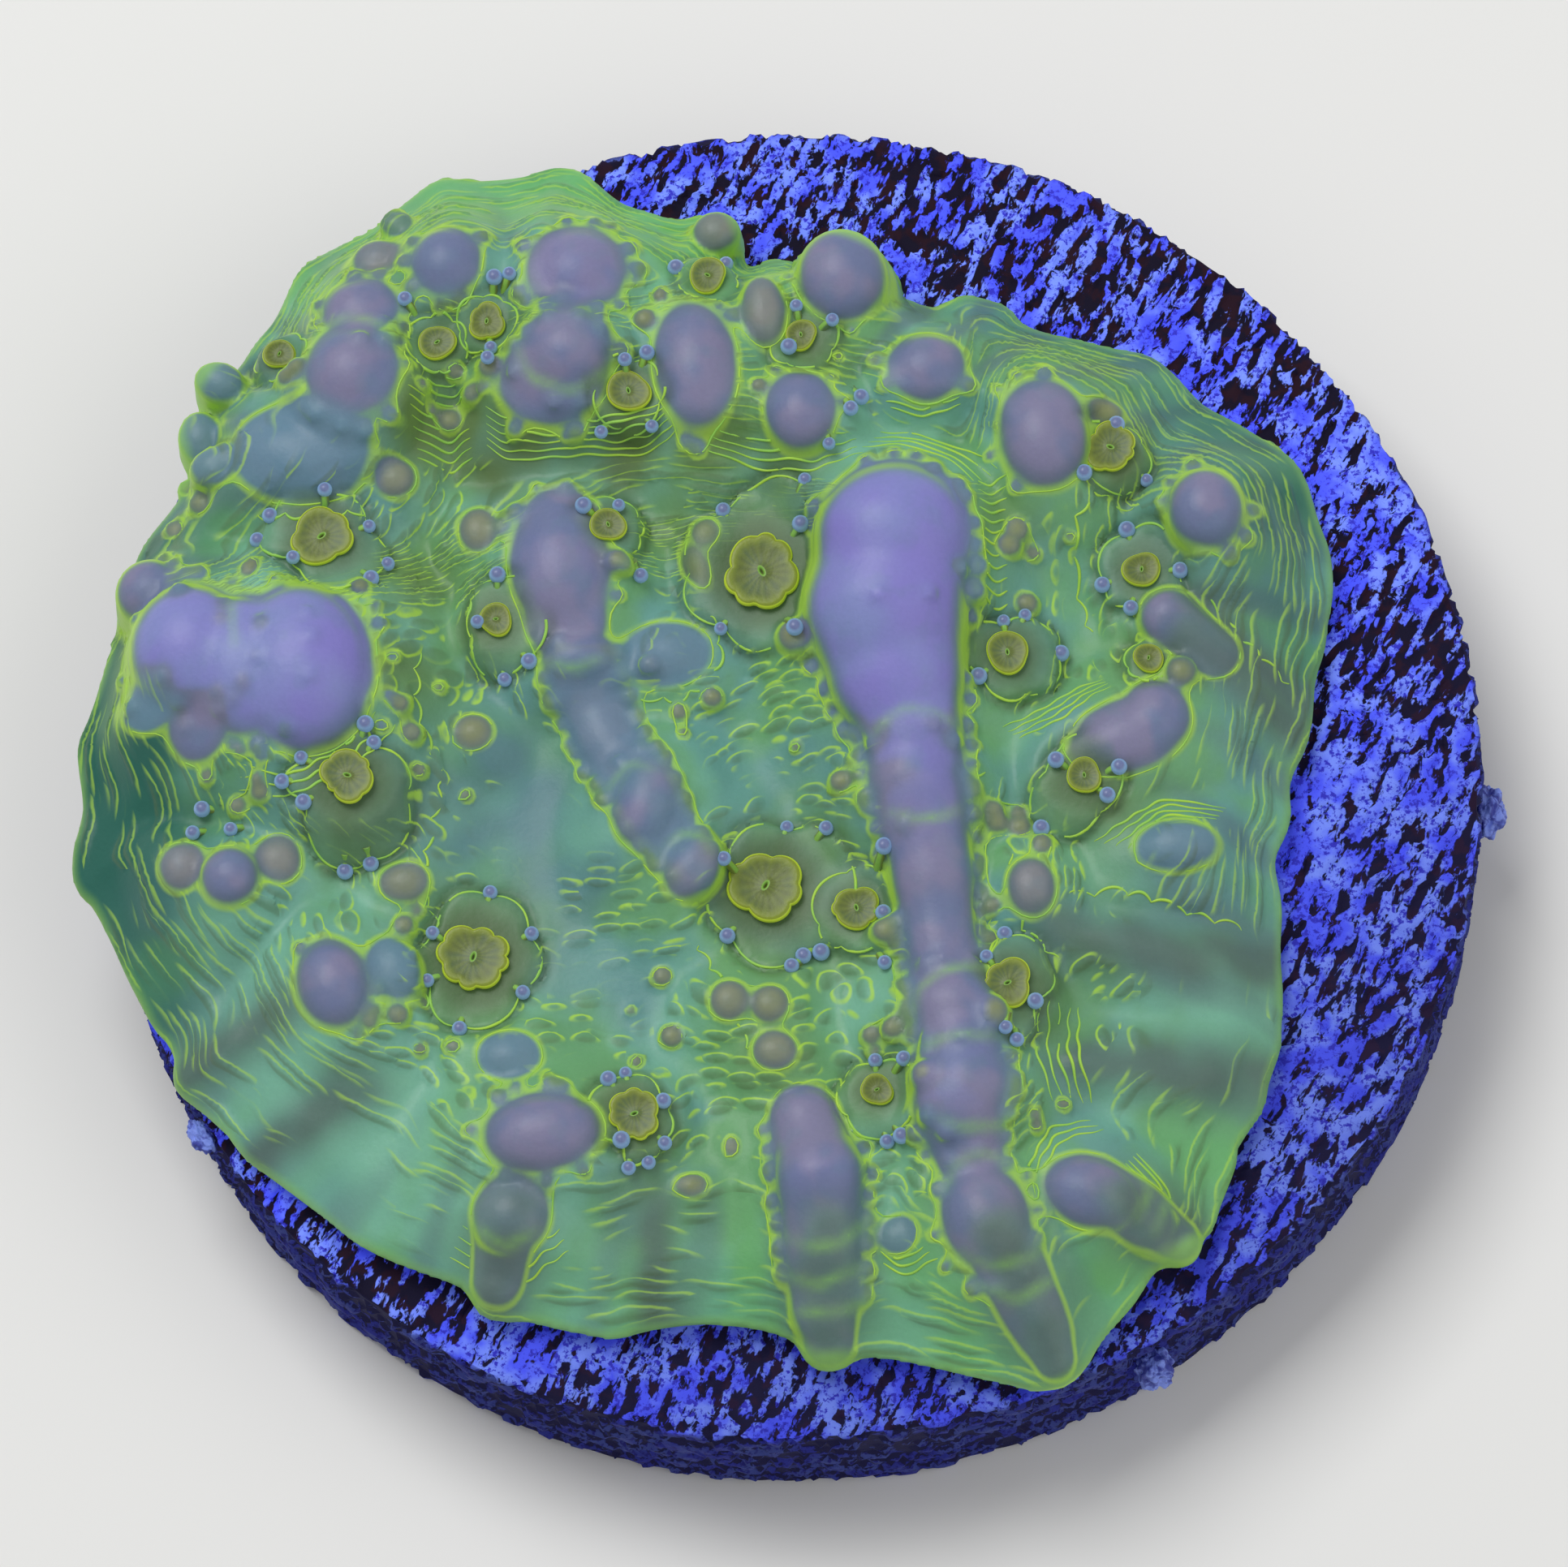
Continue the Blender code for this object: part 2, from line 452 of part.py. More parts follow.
def frag_disc(surface, parent):
    """A thick disc whose rim wanders in and out as cut ceramic does, with worn edges."""
    shape = bmesh.new()
    bmesh.ops.create_cone(
        shape, cap_ends=True, segments=DISC_SEGMENTS, radius1=DISC_RADIUS * MM,
        radius2=DISC_RADIUS * MM, depth=DISC_THICKNESS * MM,
        matrix=Matrix.Translation((0.0, 0.0, DISC_THICKNESS * MM / 2.0)),
    )
    for vert in shape.verts:
        bearing = vert.co.xy.normalized()
        wander = noise.noise(Vector((bearing.x, bearing.y, vert.co.z / MM)) * DISC_WEAR_GRAIN)
        vert.co.xy += bearing * wander * DISC_EDGE_WEAR * MM
    obj = add_object("frag_disc", shape, surface, parent)
    worn = obj.modifiers.new("worn_edges", "BEVEL")
    worn.width = DISC_EDGE_BEVEL * MM
    worn.segments = DISC_BEVEL_SEGMENTS
    worn.limit_method = "ANGLE"
    worn.angle_limit = DISC_BEVEL_ANGLE
    return obj


def rim_speck(name, surface, parent):
    """A rough crumb just off the rim, at its bearing."""
    bearing, height, half_sizes = RIM_SPECKS[name]
    shape = bmesh.new()
    bmesh.ops.create_icosphere(shape, subdivisions=2, radius=1.0)
    for vert in shape.verts:
        knob = noise.noise(vert.co * SPECK_KNOB_GRAIN + Vector((bearing, 0.0, 0.0)))
        vert.co *= 1.0 + SPECK_KNOB_HEIGHT * knob
        vert.co *= Vector(half_sizes) * MM
    reach = DISC_RADIUS + DISC_EDGE_WEAR + TOUCH_GAP + half_sizes[0]
    turn = Matrix.Rotation(math.radians(bearing), 4, "Z")
    shape.transform(turn @ Matrix.Translation((reach * MM, 0.0, height * MM)))
    return add_object(name, shape, surface, parent)


def main():
    clear_scene()
    specimen = bpy.data.objects.new("chalice_coral_frag", None)
    bpy.context.scene.collection.objects.link(specimen)
    frag_disc(material("disc_ceramic"), specimen)
    coral_colony(material("coral_flesh"), specimen)
    calcite = material("rim_calcite")
    for name in RIM_SPECKS:
        rim_speck(name, calcite, specimen)


main()
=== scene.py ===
"""A chalice coral frag: the living colony with its polyps, grown over a porous ceramic disc.

The colony is sculpted as a solid in millimetres measured from the centre of the disc's top face,
then meshed. Oral discs, tentacles and the cords along its edges and growth lines sit on that skin.
Lengths in this script are in millimetres until a mesh is made, and meshes are in metres.
"""

import math

import bmesh
import bpy
import numpy as np
from mathutils import Matrix, Vector, noise


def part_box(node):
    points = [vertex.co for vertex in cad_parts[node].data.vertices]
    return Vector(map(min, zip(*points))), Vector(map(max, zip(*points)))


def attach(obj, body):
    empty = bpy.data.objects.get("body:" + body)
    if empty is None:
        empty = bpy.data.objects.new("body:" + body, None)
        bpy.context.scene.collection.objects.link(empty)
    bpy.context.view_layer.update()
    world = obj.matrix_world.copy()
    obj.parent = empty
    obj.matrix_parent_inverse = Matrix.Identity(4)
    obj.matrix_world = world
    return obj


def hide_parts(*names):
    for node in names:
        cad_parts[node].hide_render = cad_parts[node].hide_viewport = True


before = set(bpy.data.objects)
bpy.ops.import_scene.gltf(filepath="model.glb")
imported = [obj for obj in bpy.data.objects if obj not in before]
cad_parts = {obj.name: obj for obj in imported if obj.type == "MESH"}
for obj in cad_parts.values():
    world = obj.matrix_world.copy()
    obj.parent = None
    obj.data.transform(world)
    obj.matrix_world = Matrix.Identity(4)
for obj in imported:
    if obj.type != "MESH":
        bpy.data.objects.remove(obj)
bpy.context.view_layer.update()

MM = 0.001
SEED = 41

DISC_LOW, DISC_HIGH = (np.array(corner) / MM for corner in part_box("frag_disc"))
DISC_TOP = float(DISC_HIGH[2])
DISC_RADIUS = float(DISC_HIGH[0] - DISC_LOW[0]) / 2.0

# ---------------------------------------------------------------- the colony's measurements

# The margin seen from above, clockwise from the north.
MARGIN = [
    (-4.1, 15.5), (-3.4, 15.3), (-2.7, 14.6), (-1.8, 14.0), (-1.0, 13.8), (-0.4, 13.8), (0.0, 13.4),
    (0.2, 12.8), (0.3, 12.4), (0.8, 12.5), (1.5, 12.3), (3.3, 11.3), (3.8, 11.2), (4.6, 10.9),
    (5.2, 11.1), (5.7, 11.0), (6.3, 10.7), (6.6, 10.2), (7.5, 9.8), (8.5, 9.4), (9.6, 9.0),
    (10.4, 7.9), (11.2, 7.2), (12.1, 6.5), (12.6, 5.9), (12.8, 5.2), (12.9, 4.5), (13.1, 3.6),
    (13.0, 2.6), (12.7, 1.4), (12.4, 0.7), (12.2, -0.3), (11.9, -1.1), (11.5, -1.8), (11.4, -2.6),
    (11.2, -3.1), (10.9, -3.7), (10.9, -4.7), (10.7, -6.4), (10.6, -7.5), (10.5, -8.1), (10.1, -8.9),
    (9.9, -9.6), (9.2, -10.4), (9.1, -10.8), (8.6, -11.8), (8.4, -12.3), (7.9, -12.6), (7.0, -13.1),
    (6.4, -13.8), (5.6, -14.6), (5.1, -15.2), (4.6, -15.5), (3.9, -15.6), (3.1, -15.3), (2.3, -15.0),
    (1.4, -14.7), (0.4, -14.4), (-0.2, -14.4), (-0.7, -14.4), (-1.1, -14.3), (-1.5, -13.8),
    (-2.3, -13.4), (-3.4, -13.2), (-4.6, -13.2), (-5.5, -13.3), (-6.2, -13.1), (-7.3, -12.7),
    (-8.1, -12.6), (-8.5, -12.3), (-8.8, -11.7), (-9.8, -11.2), (-11.1, -10.4), (-11.8, -9.7),
    (-12.5, -9.0), (-13.5, -8.1), (-13.8, -7.5), (-14.9, -6.3), (-14.9, -5.4), (-15.3, -4.8),
    (-15.6, -4.0), (-16.0, -3.0), (-16.4, -1.8), (-16.8, -1.3), (-16.9, -0.8), (-16.8, -0.2),
    (-16.6, 0.4), (-16.5, 1.3), (-16.5, 2.4), (-16.0, 3.4), (-15.3, 5.3), (-14.9, 6.5), (-14.4, 7.3),
    (-13.7, 8.1), (-13.3, 8.6), (-13.4, 9.4), (-12.8, 10.4), (-11.8, 11.5), (-10.9, 12.6),
    (-10.3, 13.6), (-9.6, 14.0), (-8.5, 14.4), (-7.7, 15.0), (-6.8, 15.5), (-6.1, 15.4),
    (-5.0, 15.3), (-4.6, 15.4),
]

# Bulbs: x, y, half-width along x, half-width along y, turn in degrees, top above the disc.
BULBS = {
    "crown_west": (-9.1, 9.6, 1.17, 1.24, 0, 4.3),
    "crown_west_back": (-8.8, 11.2, 0.98, 0.90, 0, 3.7),
    "crown_mid": (-6.7, 12.1, 0.89, 0.94, 0, 4.0),
    "crown_north": (-3.7, 11.5, 1.25, 1.24, 0, 4.1),
    "crown_twin_top": (-4.1, 9.4, 1.13, 1.12, 0, 4.7),
    "crown_twin_base": (-4.5, 8.8, 1.36, 1.12, 0, 4.0),
    "crown_long": (-1.2, 8.8, 1.02, 1.68, 0, 4.3),
    "crown_slim": (0.5, 10.0, 0.57, 0.96, 0, 3.9),
    "crown_east": (2.4, 10.7, 1.10, 1.24, 0, 4.2),
    "crown_round": (1.1, 7.4, 0.89, 1.00, 0, 4.2),
    "crown_small_back": (-8.3, 12.7, 0.68, 0.60, 0, 2.9),
    "crown_tiny_back": (-7.8, 13.8, 0.42, 0.40, 0, 2.2),
    "crown_rim": (-0.4, 12.9, 0.60, 0.56, 0, 1.9),
    "west_finger_top": (-12.3, 10.4, 0.64, 0.52, -30, 2.2),
    "west_finger_mid": (-12.9, 9.2, 0.53, 0.68, 0, 1.9),
    "west_finger_long": (-12.5, 8.1, 0.68, 0.52, 10, 2.8),
    "west_shoulder": (-10.5, 8.0, 1.74, 1.24, -10, 3.5),
    "west_shoulder_drop": (-8.4, 7.2, 0.53, 0.52, 0, 3.0),
    "west_twin_large": (-10.9, 2.6, 1.75, 2.15, 0, 4.6),
    "west_twin_small": (-13.4, 3.4, 1.50, 1.65, 0, 4.3),
    "west_twin_bridge": (-12.2, 2.8, 1.50, 1.82, 0, 4.38),
    "west_twin_tip": (-14.3, 5.2, 0.83, 0.84, 0, 3.0),
    "west_low": (-14.5, 2.3, 0.72, 0.72, 0, 2.6),
    "west_low_round": (-13.4, 1.5, 0.76, 0.80, 0, 3.2),
    "west_pea": (-13.0, -2.0, 0.72, 0.76, 0, 3.3),
    "west_pea_left": (-14.1, -1.5, 0.60, 0.64, 0, 2.7),
    "west_pea_right": (-11.9, -1.6, 0.57, 0.64, 0, 2.7),
    "south_west_egg": (-10.9, -4.8, 0.89, 1.16, 10, 3.3),
    "south_west_egg_side": (-9.5, -4.5, 0.64, 0.84, 10, 2.7),
    "south_west_knob": (-9.1, -2.4, 0.64, 0.52, 0, 2.4),
    "centre_mound": (-4.8, 4.6, 1.24, 1.75, 0, 3.35),
    "centre_nub": (-3.5, 4.5, 0.34, 0.32, 0, 3.2),
    "centre_drop": (-6.6, 5.8, 0.51, 0.60, 0, 2.7),
    "centre_curl": (-2.6, 2.3, 1.13, 0.84, 0, 2.7),
    "centre_curl_tip": (-3.0, 2.0, 0.26, 0.24, 0, 2.9),
    "centre_bud": (-1.4, 5.1, 0.38, 0.40, 0, 2.7),
    "centre_bud_tail": (-1.7, 4.3, 0.32, 0.68, 20, 2.3),
    "centre_pea": (-7.2, 1.0, 0.51, 0.48, 0, 2.4),
    "mid_ridge_egg": (-3.4, -1.3, 0.80, 1.16, -20, 3.15),
    "mid_ridge_bean": (-2.5, -2.9, 0.66, 0.92, -35, 3.0),
    "mid_ridge_collar": (-4.6, 2.4, 0.95, 0.62, 0, 3.0),
    "east_dome_striped": (4.1, 8.3, 0.98, 0.92, 0, 3.7),
    "east_dome": (6.6, 6.3, 1.10, 1.40, 0, 4.0),
    "east_round": (10.1, 4.2, 0.94, 1.04, 0, 3.6),
    "east_bud": (8.1, 6.8, 0.47, 0.40, 0, 3.0),
    "spine_head_lobe": (2.8, 4.3, 1.75, 1.6, 0, 4.75),
    "spine_lobe_a": (2.7, -1.5, 1.08, 1.05, 0, 3.72),
    "spine_lobe_b": (3.15, -8.8, 1.08, 1.05, 0, 3.62),
    "spine_lobe_c": (3.05, -6.9, 1.04, 0.86, 0, 3.4),
    "spine_nub": (0.4, 2.2, 0.46, 0.46, 0, 3.3),
    "spine_bud": (1.7, -4.9, 0.38, 0.34, 0, 2.7),
    "spine_side_bud": (3.85, -7.3, 0.44, 0.46, 0, 3.45),
    "spine_inner_bud": (2.25, -8.6, 0.42, 0.40, 0, 3.5),
    "east_mound": (7.7, -0.9, 1.50, 0.95, 14, 2.9),
    "east_mound_head": (8.4, -0.5, 0.85, 0.95, 0, 2.9),
    "east_flat": (8.5, -3.6, 1.02, 0.64, 0, 2.7),
    "east_egg": (5.1, -4.3, 0.60, 0.76, 0, 3.0),
    "east_twin_bud": (9.1, 0.5, 0.40, 0.42, 0, 2.7),
    "south_dome": (-6.5, -8.8, 1.44, 1.00, 0, 3.2),
    "south_dome_back": (-7.1, -6.8, 0.79, 0.64, -10, 2.5),
    "south_lobe": (-7.4, -10.5, 0.94, 0.92, 0, 2.7),
    "south_bead_left": (-2.0, -6.1, 0.51, 0.52, 0, 2.6),
    "south_bead_right": (-1.1, -6.3, 0.49, 0.50, 0, 2.6),
    "south_bead_low": (-1.1, -7.4, 0.57, 0.52, -15, 2.6),
    "south_pip": (-3.3, -10.2, 0.45, 0.32, 0, 2.0),
    "south_pip_small": (-2.3, -9.4, 0.23, 0.32, 0, 1.9),
    "south_spine_egg": (3.2, -11.9, 1.06, 1.36, 10, 3.2),
    "south_east_egg": (5.6, -11.5, 1.17, 0.88, -25, 2.9),
    "south_button": (1.2, -11.9, 0.49, 0.48, 0, 2.1),
}

# Ridges: along each one, x, y, half-width, top above the disc.
RIDGES = {
    "spine": [
        (3.0, 4.3, 1.80, 4.6), (2.5, 2.6, 1.90, 4.6), (2.6, 1.1, 1.60, 4.1), (2.8, -0.3, 1.20, 3.7),
        (2.8, -2.0, 1.13, 3.5), (2.9, -3.7, 0.98, 3.2), (2.9, -5.2, 0.87, 3.0), (3.0, -6.5, 0.94, 3.1),
        (3.1, -7.7, 1.02, 3.4), (2.9, -9.2, 1.10, 3.5), (3.0, -10.4, 0.83, 2.9),
    ],
    "spine_tail": [
        (3.2, -11.9, 0.87, 2.9), (3.7, -13.2, 0.84, 2.2), (4.2, -14.3, 0.70, 1.5), (4.4, -14.9, 0.50, 1.1),
    ],
    "centre_ridge": [(-4.7, 5.6, 1.00, 3.0), (-4.8, 3.3, 1.00, 2.8)],
    "mid_ridge": [
        (-4.6, 2.2, 0.82, 2.35), (-4.2, 0.6, 0.80, 2.35), (-3.6, -0.7, 0.76, 2.45), (-3.0, -2.0, 0.66, 2.4),
        (-2.4, -3.1, 0.48, 2.1),
    ],
    "south_ridge": [
        (-0.6, -9.0, 0.87, 2.5), (-0.4, -10.4, 1.05, 3.0), (-0.5, -12.0, 0.95, 2.5), (-0.6, -13.2, 0.80, 1.8),
        (-0.6, -13.9, 0.62, 1.25),
    ],
    "south_east_ridge": [(5.8, -11.5, 0.76, 2.6), (6.8, -12.1, 0.70, 2.0), (7.5, -12.5, 0.52, 1.3)],
    "south_west_tail": [(-7.5, -10.6, 0.80, 2.4), (-7.9, -11.7, 0.62, 1.4)],
    "east_ridge": [(9.0, 1.9, 0.74, 2.8), (9.9, 1.0, 0.66, 2.3)],
}

# Swellings that keep the plate's own teal instead of turning violet.
TEAL_RIDGE = "mid_ridge"
TEAL_BULBS = (
    "west_shoulder", "centre_curl", "east_flat", "west_low", "west_finger_top", "west_finger_mid",
    "west_finger_long", "crown_tiny_back", "south_west_egg_side", "south_dome_back", "south_button",
)

# The foot of the high ground under the crown: y at each x, and how far the ground rises behind it.
CROWN_FOOT = [
    (-13.0, 6.7), (-8.9, 6.9), (-8.0, 7.6), (-7.5, 8.7), (-6.8, 8.9), (-6.2, 8.1), (-5.4, 7.3),
    (-3.5, 6.9), (-1.0, 6.9), (0.6, 6.6), (2.2, 6.3), (3.6, 6.9), (5.2, 6.9), (6.4, 5.3), (7.6, 6.0),
    (9.0, 7.4),
]
CROWN_RISE = 0.95

# Folds whose backs are dim and mauve-grey out to the margin.
DIM_FOLDS = (
    "spine_foot", "south_foot", "south_west_foot", "south_east_foot", "east_foot", "west_rib", "east_rib",
    "east_fold_high", "east_fold_low", "west_fold", "south_fold",
)

# Places crowded with small warts: x, y, reach, how many.
WART_PLACES = [
    (-10.6, 10.2, 0.8, 9), (-6.0, 9.3, 0.9, 8), (-7.4, 8.9, 0.6, 5), (-2.6, 10.0, 0.8, 6),
    (0.6, 8.2, 0.6, 5), (2.6, 8.8, 0.7, 5), (-12.4, 0.2, 1.0, 6), (-9.4, 4.4, 0.9, 5), (8.4, 0.4, 0.7, 6),
    (1.2, -7.4, 0.7, 5), (5.2, 4.0, 1.0, 8), (-9.2, -5.9, 0.7, 5), (7.7, 6.4, 0.5, 4),
    (-13.2, 7.4, 0.6, 4), (4.4, -5.4, 0.6, 4), (-8.4, 1.0, 0.9, 6), (-8.6, -2.6, 0.7, 4),
    (4.9, -2.4, 0.8, 5), (1.4, -0.8, 0.8, 4), (-3.8, -6.2, 0.9, 5), (-11.9, 5.2, 0.5, 4),
    (5.3, -9.6, 0.7, 4), (-1.9, 1.0, 0.8, 4),
]

# Tints of the plate between the hills: for each, places as x, y, reach, strength.
TINTS = {
    "blue": [
        (-6.6, -0.6, 2.5, 1.0), (-5.6, -2.8, 1.8, 0.7), (8.6, -5.0, 2.3, 0.6), (-14.9, -1.4, 1.0, 0.6),
        (-10.4, 7.9, 1.6, 0.6), (11.6, 3.6, 1.6, 0.5), (-13.6, -5.2, 1.5, 0.4), (-4.6, -5.6, 1.2, 0.4),
        (0.8, -1.0, 1.2, 0.3), (-12.4, 11.0, 1.2, 0.7), (-14.6, 7.2, 1.3, 0.9), (8.8, -8.6, 1.4, 0.3),
    ],
    "olive": [
        (-5.8, 7.7, 1.3, 1.0), (-3.4, 7.2, 1.3, 1.0), (-1.0, 7.0, 1.2, 0.8), (0.7, 6.4, 1.0, 0.7),
        (-7.1, 8.4, 1.3, 1.3), (-8.2, 4.8, 1.2, 0.7), (-8.6, 2.4, 0.9, 0.7), (-0.6, 4.8, 1.5, 0.5),
        (-2.4, 5.8, 1.0, 0.7), (-10.0, -0.7, 1.4, 0.7), (8.3, 5.7, 0.9, 0.8), (8.5, 0.9, 0.8, 0.8),
        (-0.2, -3.8, 1.9, 0.7), (-1.1, -7.4, 0.9, 0.5), (1.3, -8.3, 0.9, 0.6), (6.8, -2.2, 1.2, 0.6),
        (-7.7, -4.3, 1.6, 0.6), (-4.4, -8.6, 1.1, 0.6), (-6.4, 10.2, 1.4, 0.6), (-2.6, 8.4, 1.0, 0.7),
        (1.4, 9.0, 1.0, 0.6), (5.6, 4.4, 1.0, 0.5), (4.9, -6.8, 1.0, 0.6), (-6.4, 3.4, 1.1, 0.6),
        (5.0, 1.4, 1.0, 0.5),
    ],
    "pale": [
        (-10.6, -7.6, 2.1, 1.2), (-12.2, -6.2, 1.8, 1.2), (-7.0, -12.0, 1.5, 0.5),
        (-12.6, -3.6, 1.3, 0.6), (6.2, -3.2, 1.2, 0.5), (1.2, -14.0, 1.2, 0.4), (9.2, -7.6, 1.4, 0.5),
        (0.8, -6.4, 1.1, 0.5), (6.4, 3.4, 1.1, 0.4),
    ],
    "deep": [
        (-16.0, 0.4, 2.4, 1.6), (-15.6, 3.8, 1.4, 1.0), (-15.0, 6.6, 1.3, 0.9), (12.2, 4.6, 1.7, 0.7),
        (12.0, 1.4, 1.3, 0.6), (-12.2, 11.2, 1.0, 0.6), (-15.0, -4.2, 1.2, 0.6), (10.6, 7.2, 1.2, 0.5),
        (-0.2, 4.7, 1.3, 0.4),
    ],
}

# Places where the growth rows fade (less than 0) or crowd (more than 0): x, y, reach, change.
CALM_PLACES = [
    (9.0, -6.5, 2.6, -0.55), (8.4, -1.5, 1.8, -0.35), (-6.2, 0.2, 1.8, -0.30), (-10.8, -9.4, 1.8, -0.35),
    (-15.7, 0.0, 2.0, -0.50), (6.2, -13.6, 2.0, -0.2), (-5.8, 7.6, 1.5, 1.3), (-3.0, 7.2, 1.6, 1.2),
    (-0.6, 6.8, 1.5, 1.1), (-8.1, 6.6, 1.3, 0.8), (-7.2, 8.4, 1.1, -0.8), (5.2, 4.6, 1.3, 0.9),
    (-9.6, -8.0, 1.6, 0.45), (-2.0, 0.4, 1.6, 0.25), (5.0, -8.8, 1.4, 0.45), (-4.6, -6.8, 1.8, 0.3),
    (-0.9, -8.0, 1.2, 0.3), (-14.3, 6.0, 1.5, 0.5), (-7.8, 1.4, 1.2, 0.4), (11.4, 4.6, 1.6, 0.25),
    (8.6, -4.6, 1.0, 0.4), (-13.0, -6.2, 1.9, -0.6), (-11.2, -9.0, 1.9, -0.6), (-8.6, -11.4, 1.6, -0.5),
    (-4.4, -12.2, 1.8, -0.5), (-0.6, -13.4, 1.3, -0.4), (6.6, -13.0, 1.9, -0.5), (9.2, -9.8, 1.9, -0.6),
    (10.2, -6.2, 1.6, -0.6), (10.8, -2.4, 1.6, -0.5), (-15.6, -3.4, 1.5, -0.3), (3.8, -14.4, 1.2, -0.4),
]

# Places away from the margin where the growth rows draw out into long streaks: x, y, reach.
STREAK_PLACES = [
    (-5.0, 7.0, 1.6), (-2.6, 7.3, 1.7), (-0.4, 6.9, 1.4), (1.6, 6.4, 1.5), (4.6, 5.6, 1.4),
    (4.8, -10.6, 1.4), (-0.3, -12.8, 2.0), (3.4, -13.4, 1.8),
    (6.8, -12.0, 1.5), (-7.6, -11.2, 1.6),
]

# Folds of the plate itself: along each one, x, y, half-width, rise over the plate.
FOLDS = {
    "spine_foot": [(3.6, -12.6, 1.2, 1.1), (4.5, -15.0, 1.0, 0.45)],
    "south_foot": [(-0.4, -12.0, 1.3, 1.0), (-0.6, -14.4, 1.1, 0.4)],
    "south_west_foot": [(-7.4, -10.6, 1.3, 0.9), (-8.3, -12.3, 1.1, 0.4)],
    "mid_foot": [(-2.3, -4.3, 0.8, 0.6), (-1.2, -7.4, 0.8, 0.5)],
    "south_east_foot": [(6.6, -12.0, 1.2, 0.8), (7.8, -12.4, 1.0, 0.4)],
    "east_foot": [(9.6, 1.2, 1.0, 0.9), (11.8, -0.9, 0.9, 0.4)],
    "east_fold_high": [(5.6, -5.3, 0.9, 0.9), (8.0, -6.0, 1.2, 0.8), (10.4, -6.3, 1.0, 0.35)],
    "east_fold_low": [(5.6, -8.4, 0.9, 0.9), (8.0, -8.7, 1.2, 0.7), (10.0, -8.8, 1.0, 0.3)],
    "east_brow": [(6.2, -4.3, 0.5, 0.5), (8.6, -4.6, 0.7, 0.7), (10.0, -5.0, 0.6, 0.4)],
    "east_rib": [(9.6, 2.4, 0.7, 0.6), (11.6, 0.0, 0.7, 0.5)],
    "west_fold": [(-10.6, -7.0, 0.9, 0.5), (-13.0, -8.2, 0.8, 0.25)],
    "south_fold": [(-4.2, -10.6, 0.9, 0.4), (-4.4, -12.8, 0.8, 0.25)],
    "west_rib": [(-12.2, -5.2, 0.8, 0.7), (-14.6, -6.0, 0.8, 0.3)],
    "west_wall": [(-7.0, 9.6, 0.8, 1.2), (-7.8, 7.8, 0.7, 1.0), (-8.8, 6.2, 0.7, 0.9), (-8.0, 3.2, 0.6, 0.6)],
    "west_terrace": [(-7.9, 2.6, 0.6, 0.6), (-8.4, 0.2, 0.8, 0.7), (-8.9, -2.0, 0.8, 0.6)],
    "north_east_rib": [
        (4.6, 10.0, 1.0, 0.5), (6.3, 9.2, 0.9, 0.6), (8.1, 8.4, 1.0, 0.5), (10.2, 6.9, 1.0, 0.5),
        (11.9, 5.0, 1.0, 0.5), (12.2, 2.6, 0.8, 0.35),
    ],
    "crown_base": [
        (-9.6, 10.6, 1.7, 1.3), (-6.6, 11.4, 1.9, 1.5), (-3.6, 10.2, 2.0, 1.6), (0.6, 9.4, 1.9, 1.4),
    ],
    "crown_east_base": [
        (0.6, 9.4, 1.9, 1.4), (2.6, 9.8, 1.6, 1.2), (5.2, 8.0, 1.6, 1.0), (6.9, 6.4, 1.6, 0.9),
    ],
    "crown_brow": [(-5.6, 7.9, 0.7, 0.9), (-3.6, 7.2, 0.8, 1.1), (-1.2, 6.9, 0.8, 1.0), (0.6, 6.3, 0.6, 0.7)],
    "valley_lobe": [(-1.6, 6.9, 0.9, 0.9), (-2.5, 5.0, 0.6, 0.4)],
}

# Long beaded seams of the plate: points along each one.
SEAMS = {
    "valley_west": [(-8.3, 3.2), (-8.5, 1.5), (-8.1, -0.1), (-8.5, -1.3), (-8.8, -2.5), (-8.5, -3.6)],
    "shoulder_foot": [(-8.9, 6.55), (-9.8, 6.5), (-10.8, 6.6), (-11.8, 6.8)],
    "mid_foot": [(-2.7, -4.6), (-2.2, -5.7), (-1.9, -6.9), (-1.5, -7.9)],
    "east_rib": [(9.7, 2.4), (10.6, 1.2), (11.6, 0.2)],
    "spine_east": [(4.6, -3.1), (4.7, -5.2), (5.6, -6.2)],
    "east_brow": [(5.8, -4.6), (7.0, -4.5), (8.0, -4.9), (9.0, -5.3), (9.9, -5.5)],
    "north_east": [(8.6, 4.6), (7.6, 5.1), (7.0, 4.3), (6.9, 3.0), (7.1, 1.8)],
    "curl": [(-1.6, 3.1), (-1.35, 2.3), (-1.7, 1.6), (-2.5, 1.25), (-3.4, 1.5)],
    "curl_inner": [(-2.4, 2.9), (-1.85, 2.6), (-1.8, 2.0), (-2.3, 1.8)],
}

